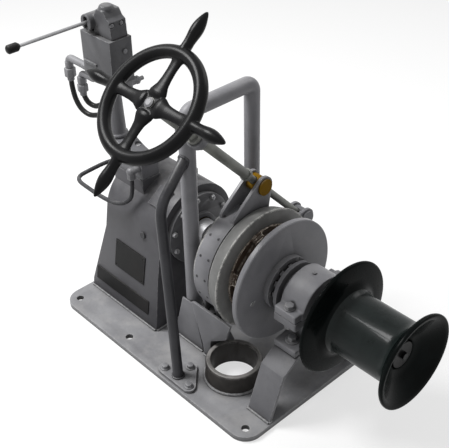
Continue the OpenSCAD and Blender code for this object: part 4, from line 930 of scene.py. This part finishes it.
@dataclass
class Hoses:
    """Both hoses with the elbows, nuts and crimped sleeves that hold them at the valve."""

    hose_r: float = 9.0
    supply: tuple[Point, ...] = (
        (-603, -106, 796), (-603, -106, 760), (-600, -106, 724), (-590, -105, 688), (-568, -102, 659),
        (-536, -95, 646), (-504, -86, 652), (-476, -80, 664), (-450, -80, 664))
    back: tuple[Point, ...] = (
        (-547, -100, 770), (-547, -100, 742), (-545, -99, 716), (-530, -95, 694), (-506, -86, 686),
        (-478, -80, 698), (-450, -80, 698))
    supply_port: Point = (-486, -106, 840)
    supply_elbow_r: float = 12.5
    supply_bend: float = 20.0
    supply_knee_x: float = -560.0
    supply_end_z: float = 790.0
    back_port: Point = (-470, -100, 827)
    back_elbow_r: float = 10.5
    back_bend: float = 16.0
    back_rise: float = 12.0
    back_level: float = 800.0
    back_knee_x: float = -510.0
    fittings: tuple[Nut | Sleeve, ...] = (
        Sleeve(((0, 0), (0, 14, 3), (20, 14, 3), (24, 12.6)), (-603, -106, 826), (0, 0, -1)),
        Nut(40, 32, (-603, -106, 770), chamfer=2.5),
        Sleeve(((0, 9.2), (0, 12, 1.5), (16, 12, 1), (22, 9.2)), (-603, -106, 756)),
        Nut(29, 20, (-511.5, -106, 840), X_AXIS, Z_AXIS),
        Nut(32, 24, (-547, -100, 763)),
        Sleeve(((0, 0), (0, 13, 1.5), (4, 13, 1.5), (4, 0)), (-547, -100, 759)),
        Nut(38, 26, (-547, -100, 733), side=(1, 1, 0), chamfer=2.4),
        Sleeve(((0, 9.2), (0, 11.6, 1.5), (14, 11.6, 1), (18, 9.2)), (-547, -100, 718)),
    )

    def build(self) -> None:
        """Builds the hoses and their fittings."""
        for node, route in (("supply_hose", self.supply), ("return_hose", self.back)):
            made = Mould(f"{node}_rubber").tube(smooth_path(route), self.hose_r)
            made.finish(Look.RUBBER, node, slot=Slot.HOSE)
        made = Mould("hose_elbows")
        made.tube(self.supply_path(), self.supply_elbow_r).tube(self.back_path(), self.back_elbow_r)
        for row in self.fittings:
            if isinstance(row, Nut):
                made.hexagon(row.across, row.height, along(row.at, row.axis, row.side), row.chamfer)
            else:
                made.turned(row.profile, along(row.at, row.axis))
        made.finish(Look.ZINC, "hose_fittings", slot=Slot.STEEL)

    def supply_path(self) -> list[Vector]:
        """Finds the supply elbow's middle line, level and down into its nut.

        Returns:
            Its points.
        """
        x, r = self.supply[0][0], self.supply_bend
        _, y, z = self.supply_port
        bend = arc((x + r, y, z - r), r, 8, Z_AXIS, (-1, 0, 0), (0, 90))
        level = [Vector(self.supply_port), Vector((self.supply_knee_x, y, z))]
        return [*level, *bend, Vector((x, y, self.supply_end_z))]

    def back_path(self) -> list[Vector]:
        """Finds the return elbow's middle line, down, level, and down into its nut.

        Returns:
            Its points.
        """
        x, y, _ = self.back[0]
        port, level, r, rise = self.back_port, self.back_level, self.back_bend, self.back_rise
        first = arc((port[0] - rise, y, level + rise), rise, 6, X_AXIS, (0, 0, -1), (0, 90))
        second = arc((x + r, y, level - r), r, 8, Z_AXIS, (-1, 0, 0), (0, 90))
        return [Vector(port), *first, Vector((self.back_knee_x, y, level)), *second, Vector(self.back[0])]


@dataclass
class Lever:
    """The knob on the valve's lever."""

    start: Point = (-440.0, -370.0, 1016.0)
    knob_r: float = 14.0
    grooves: int = 5
    groove_depth: float = 1.6
    first_groove: float = 12.0
    pitch: float = 5.0

    def build(self) -> None:
        """Turns the ribbed knob."""
        rows: list[tuple[float, ...]] = [(0, 0), (0, 8, 1), (3, 10, 1.5), (8, self.knob_r, 2)]
        low = self.knob_r - self.groove_depth
        for k in range(self.grooves):
            at = self.first_groove + self.pitch * k
            rows += [(at, self.knob_r), (at + 1, low), (at + 3, low), (at + 4, self.knob_r)]
        rows += [(37, self.knob_r, 2), (42, 10, 3), (43, 0)]
        made = Mould("lever_knob_grip").turned(rows, along(self.start, (0, -1, 0)), 48)
        made.finish(Look.KNOB, "lever_knob", body=Body.LEVER, slot=Slot.KNOB, crease=30.0)


@dataclass(frozen=True)
class Cast:
    """How one CAD node is worked over: its edges rounded, or melted as a casting."""

    node: str
    look: Look
    body: Body = Body.FRAME
    slot: Slot = Slot.GREY
    rounding: float = 0.0
    voxel: float = 0.0
    passes: int = 6


@dataclass
class Castings:
    """Castings and plates that keep the CAD's form but get soft edges."""

    rows: tuple[Cast, ...] = (
        Cast("valve_block", Look.VALVE, rounding=5.0),
        Cast("valve_bonnet", Look.VALVE, voxel=1.8, passes=5),
        Cast("bearing_cap", Look.PALE, voxel=2.6),
        Cast("bearing_base", Look.PAINT, voxel=3.2, passes=5),
        Cast("spindle_bearing", Look.PAINT, voxel=2.0),
        Cast("valve_stand", Look.PAINT, slot=Slot.DARK, voxel=2.4, passes=8),
        Cast("trestle", Look.PAINT, rounding=3.0),
        Cast("chain_wheel", Look.IRON, Body.DRUM, Slot.IRON, rounding=2.2),
        Cast("outer_cheek", Look.PALE, Body.DRUM, rounding=3.5),
        Cast("brake_drum", Look.DRUM, Body.DRUM, Slot.STEEL, rounding=3.0),
        Cast("band_front", Look.PALE, Body.FRONT_BAND, rounding=1.8),
        Cast("band_rear", Look.PALE, Body.REAR_BAND, rounding=1.8),
        Cast("gear_housing", Look.HOUSING, rounding=5.0),
        Cast("valve_plinth", Look.PAINT, rounding=3.0),
        Cast("shaft_cover", Look.COVER, slot=Slot.DARK, rounding=2.0),
        Cast("hydraulic_motor", Look.DARK, slot=Slot.DARK, rounding=2.5),
        Cast("anchor_bracket", Look.PAINT, rounding=1.6),
        Cast("deck_plate", Look.DECK, rounding=2.5),
        Cast("frame_shoes", Look.PAINT, rounding=1.2),
    )

    def build(self) -> None:
        """Works over every casting."""
        for row in self.rows:
            made = Mould(f"{row.node}_cast").node(row.node)
            if row.voxel:
                made.fuse(row.voxel, row.passes)
            else:
                made.round_edges(row.rounding)
            crease = 50.0 if row.voxel else 34.0
            made.finish(row.look, row.node, body=row.body, slot=row.slot, crease=crease)


@dataclass
class TubeFrame:
    """The tube frame over the brake, square at its corners."""

    x: float = 19.0
    y: float = 133.0
    foot: float = 18.5
    top: float = 882.0
    bend: float = 28.0
    radius: float = 25.5
    bead_r: float = 4.0

    def build(self) -> None:
        """Builds the bent frame and the weld beads at its feet."""
        path = [Vector((self.x, -self.y, self.foot))]
        for side, span in ((-1, (0, 90)), (1, (90, 0))):
            middle = (self.x, side * (self.y - self.bend), self.top - self.bend)
            path += arc(middle, self.bend, 10, (0, side, 0), Z_AXIS, span)
        path.append(Vector((self.x, self.y, self.foot)))
        made = Mould("tube_frame_bent").tube(path, self.radius, 40)
        for side in (-1, 1):
            made.bead(arc((self.x, side * self.y, self.foot + 1.5), self.radius + 2.5, 40), self.bead_r)
        made.finish(Look.PALE, "tube_frame")


@dataclass
class Welds:
    """Weld beads where plates and tubes stand on the deck."""

    level: float = 20.0
    pipe: Point = (236.0, -162.0, 21.0)
    pipe_r: float = 95.0
    trestle_x: Pair = (371.0, 463.0)
    trestle_y: Pair = (219.0, 233.0)
    trestle_edge: float = 233.5
    shoe_x: Pair = (-50.0, 88.0)
    shoe_y: float = 166.0
    housing_x: Pair = (-456.0, -101.0)
    housing_y: float = 213.5
    housing_end_x: float = -97.5
    housing_end_y: float = 210.0
    bracket_x: Pair = (101.0, 130.0)
    bracket_y: float = -171.5

    def build(self) -> None:
        """Lays every bead."""
        made = Mould("deck_welds").bead(arc(self.pipe, self.pipe_r, 72), 5.0)
        inner, outer = self.trestle_y
        for x in self.trestle_x:
            for side in (-1, 1):
                self.seam(made, (x, x), (side * outer, side * inner), 4.0)
        rows = ((self.trestle_x, self.trestle_edge, 4.5), (self.shoe_x, self.shoe_y, 3.8),
                (self.housing_x, self.housing_y, 4.2))
        for side in (-1, 1):
            for xs, y, radius in rows:
                self.seam(made, xs, (side * y, side * y), radius)
        x, y = self.housing_end_x, self.housing_end_y
        self.seam(made, (x, x), (-y, y), 4.2)
        self.seam(made, self.bracket_x, (self.bracket_y, self.bracket_y), 3.6)
        made.finish(Look.DECK)

    def seam(self, made: Mould, xs: Pair, ys: Pair, radius: float) -> None:
        """Lays one straight bead on the deck."""
        made.bead([Vector((x, y, self.level)) for x, y in zip(xs, ys)], radius)


@dataclass
class BandRivets:
    """Rivet heads that hold the lining to both halves of the band, at angles in degrees."""

    radius: float = 187.6
    head_r: float = 4.6
    head_h: float = 1.3
    rows: Pair = (101.0, 137.0)
    front: range = range(88, 199, 22)
    rear: range = range(258, 347, 22)

    def build(self) -> None:
        """Sets the rivets of each half."""
        for body, angles in ((Body.FRONT_BAND, self.front), (Body.REAR_BAND, self.rear)):
            made = Mould(f"{body.value}_rivets")
            for a in map(math.radians, angles):
                out = (0.0, math.cos(a), math.sin(a))
                for x in self.rows:
                    seat = (x, self.radius * out[1], SHAFT_Z + self.radius * out[2])
                    made.bar(self.head_r, self.head_h, along(seat, out, X_AXIS), 0.5, 20)
            made.finish(Look.DARK, body=body, slot=Slot.STEEL)


@dataclass
class CastMarks:
    """A small raised casting mark on the outer cheek, a boss and a dot: y, z, radius and height."""

    x: float = 294.4
    boss: tuple[float, ...] = (-138.0, 337.0, 7.5, 2.2)
    dot: tuple[float, ...] = (-129.0, 340.0, 3.2, 2.0)

    def build(self) -> None:
        """Sets the boss and the dot."""
        made = Mould("cheek_mark")
        for (y, z, radius, height), chamfer, steps in ((self.boss, 0.9, 24), (self.dot, 0.7, 20)):
            made.bar(radius, height, along((self.x, y, z), X_AXIS), chamfer, steps)
        made.finish(Look.STEEL, body=Body.DRUM, slot=Slot.STEEL)


@dataclass
class Stay:
    """The bent stay: a tube painted dark grey as painted shade, welded to a foot in the deck's grey."""

    foot_top: float = 29.0
    foot_seam: Point = (122.0, -302.0, 30.5)
    foot_seam_r: float = 19.0
    leg: Point = (19.0, -133.0, 748.0)
    bend: Point = (47.0, -271.0, 632.0)
    rod_r: float = 17.4
    leg_r: float = 26.5

    def saddle(self, steps: int = 32) -> list[Vector]:
        """Finds the line where the stay meets the leg.

        Args:
            steps: how many points go round.

        Returns:
            The closed line of points.
        """
        way = (Vector(self.bend) - Vector(self.leg)).normalized()
        side = way.cross(Vector(Z_AXIS)).normalized()
        made = []
        for off in arc((0, 0, 0), self.rod_r, steps, side, side.cross(way)):
            flat, run = off.to_2d(), way.to_2d()
            square, middle = run.length_squared, flat.dot(run)
            rest = square * (flat.length_squared - self.leg_r ** 2)
            slide = (-middle + math.sqrt(middle ** 2 - rest)) / square
            made.append(Vector(self.leg) + off + slide * way)
        return made

    def build(self) -> None:
        """Copies the stay, lays its welds and paints its foot as the deck."""
        made = Mould("bent_stay_tube").node("bent_stay").round_edges(1.6)
        made.bead(arc(self.foot_seam, self.foot_seam_r, 32), 3.2)
        made.bead(self.saddle(), 3.6)
        # The tube's dark grey is painted shade.
        done = made.finish(Look.STAY, "bent_stay")
        repaint(done, Look.DECK, lambda face: face.center.z < self.foot_top * MM)


@dataclass
class ChainPipe:
    """The iron ring through the deck, bright on top where the chain rubs."""

    level: float = 0.85
    lip: float = 40.0

    def build(self) -> None:
        """Rounds the ring and paints its top."""
        made = Mould("chain_pipe_cast").node("chain_pipe").round_edges(3.0)
        done = made.finish(Look.PIPE, "chain_pipe", slot=Slot.IRON, crease=40.0)
        repaint(done, Look.WORN, lambda face: face.normal.z > self.level and face.center.z > self.lip * MM)


@dataclass
class Bolts:
    """Bolt heads and washers with turned corners, over the CAD's plain ones."""

    groups: tuple[tuple[str, Look], ...] = (
        ("stay_bolts", Look.ZINC), ("bearing_bolts", Look.ZINC), ("case_bolts", Look.STEEL),
        ("bonnet_screws", Look.ZINC), ("pipe_nuts", Look.ZINC), ("relief_valve", Look.ZINC))
    rounding: float = 1.3
    least: float = 25.0

    def build(self) -> None:
        """Rounds the heads of each group."""
        for node, look in self.groups:
            made = Mould(f"{node}_turned").node(node).round_edges(self.rounding, self.least, 2)
            made.finish(look, node, slot=Slot.STEEL)


@dataclass
class Studio:
    """Camera, lamps, floor and background, in metres."""

    place: Point = (1.7651, -1.5899, 2.1151)
    azimuth: float = 47.53
    elevation: float = 35.61
    roll: float = -1.23
    lens: float = 72.22
    key_power: float = 165.0
    fill_power: float = 3.0
    rim_power: float = 20.0
    world_level: float = 0.27
    floor_r: float = 9.0
    floor_z: float = -0.0006
    floor_lit: Colour = (0.62, 0.62, 0.62)
    floor_seen: Colour = (0.42, 0.42, 0.42)
    floor_glow: float = 0.62

    def camera(self) -> None:
        """Makes the camera and sets it as the scene's."""
        a, e, r = (math.radians(v) for v in (self.azimuth, self.elevation, self.roll))
        back = Vector((math.sin(a) * math.cos(e), -math.cos(a) * math.cos(e), math.sin(e)))
        right = Vector((math.cos(a), math.sin(a), 0.0))
        up = back.cross(right)
        axes = Matrix((right * math.cos(r) + up * math.sin(r), up * math.cos(r) - right * math.sin(r), back))
        data = bpy.data.cameras.new("camera")
        data.lens = self.lens
        data.sensor_width = 36.0
        data.clip_start, data.clip_end = 0.05, 60.0
        made = stand("camera", data)
        made.matrix_world = Matrix.Translation(self.place) @ axes.transposed().to_4x4()
        bpy.context.scene.camera = made

    def lamp(self, name: str, place: Point, aim: Point, size: float, power: float) -> None:
        """Adds a square soft white lamp.

        Args:
            name: the lamp's name.
            place: where it is.
            aim: the point that it faces.
            size: its side.
            power: its power in watts.
        """
        data = bpy.data.lights.new(name, "AREA")
        data.size, data.energy = size, power
        made = stand(name, data)
        made.location = place
        made.rotation_mode = "QUATERNION"
        made.rotation_quaternion = (Vector(aim) - Vector(place)).to_track_quat("-Z", "Y")

    def world(self) -> None:
        """Makes a soft grey sky that is white where the camera sees it."""
        made = bpy.data.worlds.new("studio")
        g = Graph.blank(made)
        levels = (self.world_level, 1.0)
        hidden, shown = (g.wire("Background", {"Color": WHITE, "Strength": level}) for level in levels)
        g.switch("OutputWorld", hidden, shown)
        bpy.context.scene.world = made

    def floor(self) -> None:
        """Lays the pale floor, which keeps the winch's shadow."""
        bm = bmesh.new()
        bmesh.ops.create_circle(bm, cap_ends=True, segments=96, radius=self.floor_r)
        bmesh.ops.translate(bm, verts=bm.verts, vec=(0.0, 0.0, self.floor_z))
        mesh = bpy.data.meshes.new("studio_floor")
        bm.to_mesh(mesh)
        bm.free()
        stand("studio_floor", mesh)
        material = bpy.data.materials.new("studio_floor")
        g = Graph.blank(material)
        lit, seen = (g.wire("BsdfDiffuse", {"Color": colour}) for colour in (self.floor_lit, self.floor_seen))
        glow = g.wire("Emission", {"Strength": self.floor_glow})
        g.switch("OutputMaterial", lit, g.wire("AddShader", {0: seen, 1: glow}))
        mesh.materials.append(material)

    def build(self) -> None:
        """Sets the whole studio up."""
        self.camera()
        self.world()
        self.floor()
        self.lamp("key", (-1.7, -1.25, 3.5), (0.0, 0.0, 0.4), 1.4, self.key_power)
        self.lamp("fill", (3.2, -0.6, 1.8), (0.1, 0.0, 0.4), 1.8, self.fill_power)
        self.lamp("rim", (0.4, 2.6, 2.6), (0.0, 0.0, 0.5), 1.6, self.rim_power)
        bpy.context.scene.view_settings.view_transform = "Standard"


def main() -> None:
    """Builds the winch's looks, piece by piece."""
    logging.basicConfig(level=logging.INFO, format="%(name)s: %(message)s")
    Studio().build()
    WARDROBE.make()
    WARDROBE.dress_nodes()
    parts = (HandWheel(), WarpingHead(), Hoses(), Lever(), Castings(), TubeFrame(), Stay(), ChainPipe(),
             BandRivets(), CastMarks(), Welds(), Bolts())
    for part in parts:
        part.build()


if __name__ == "__main__":
    main()
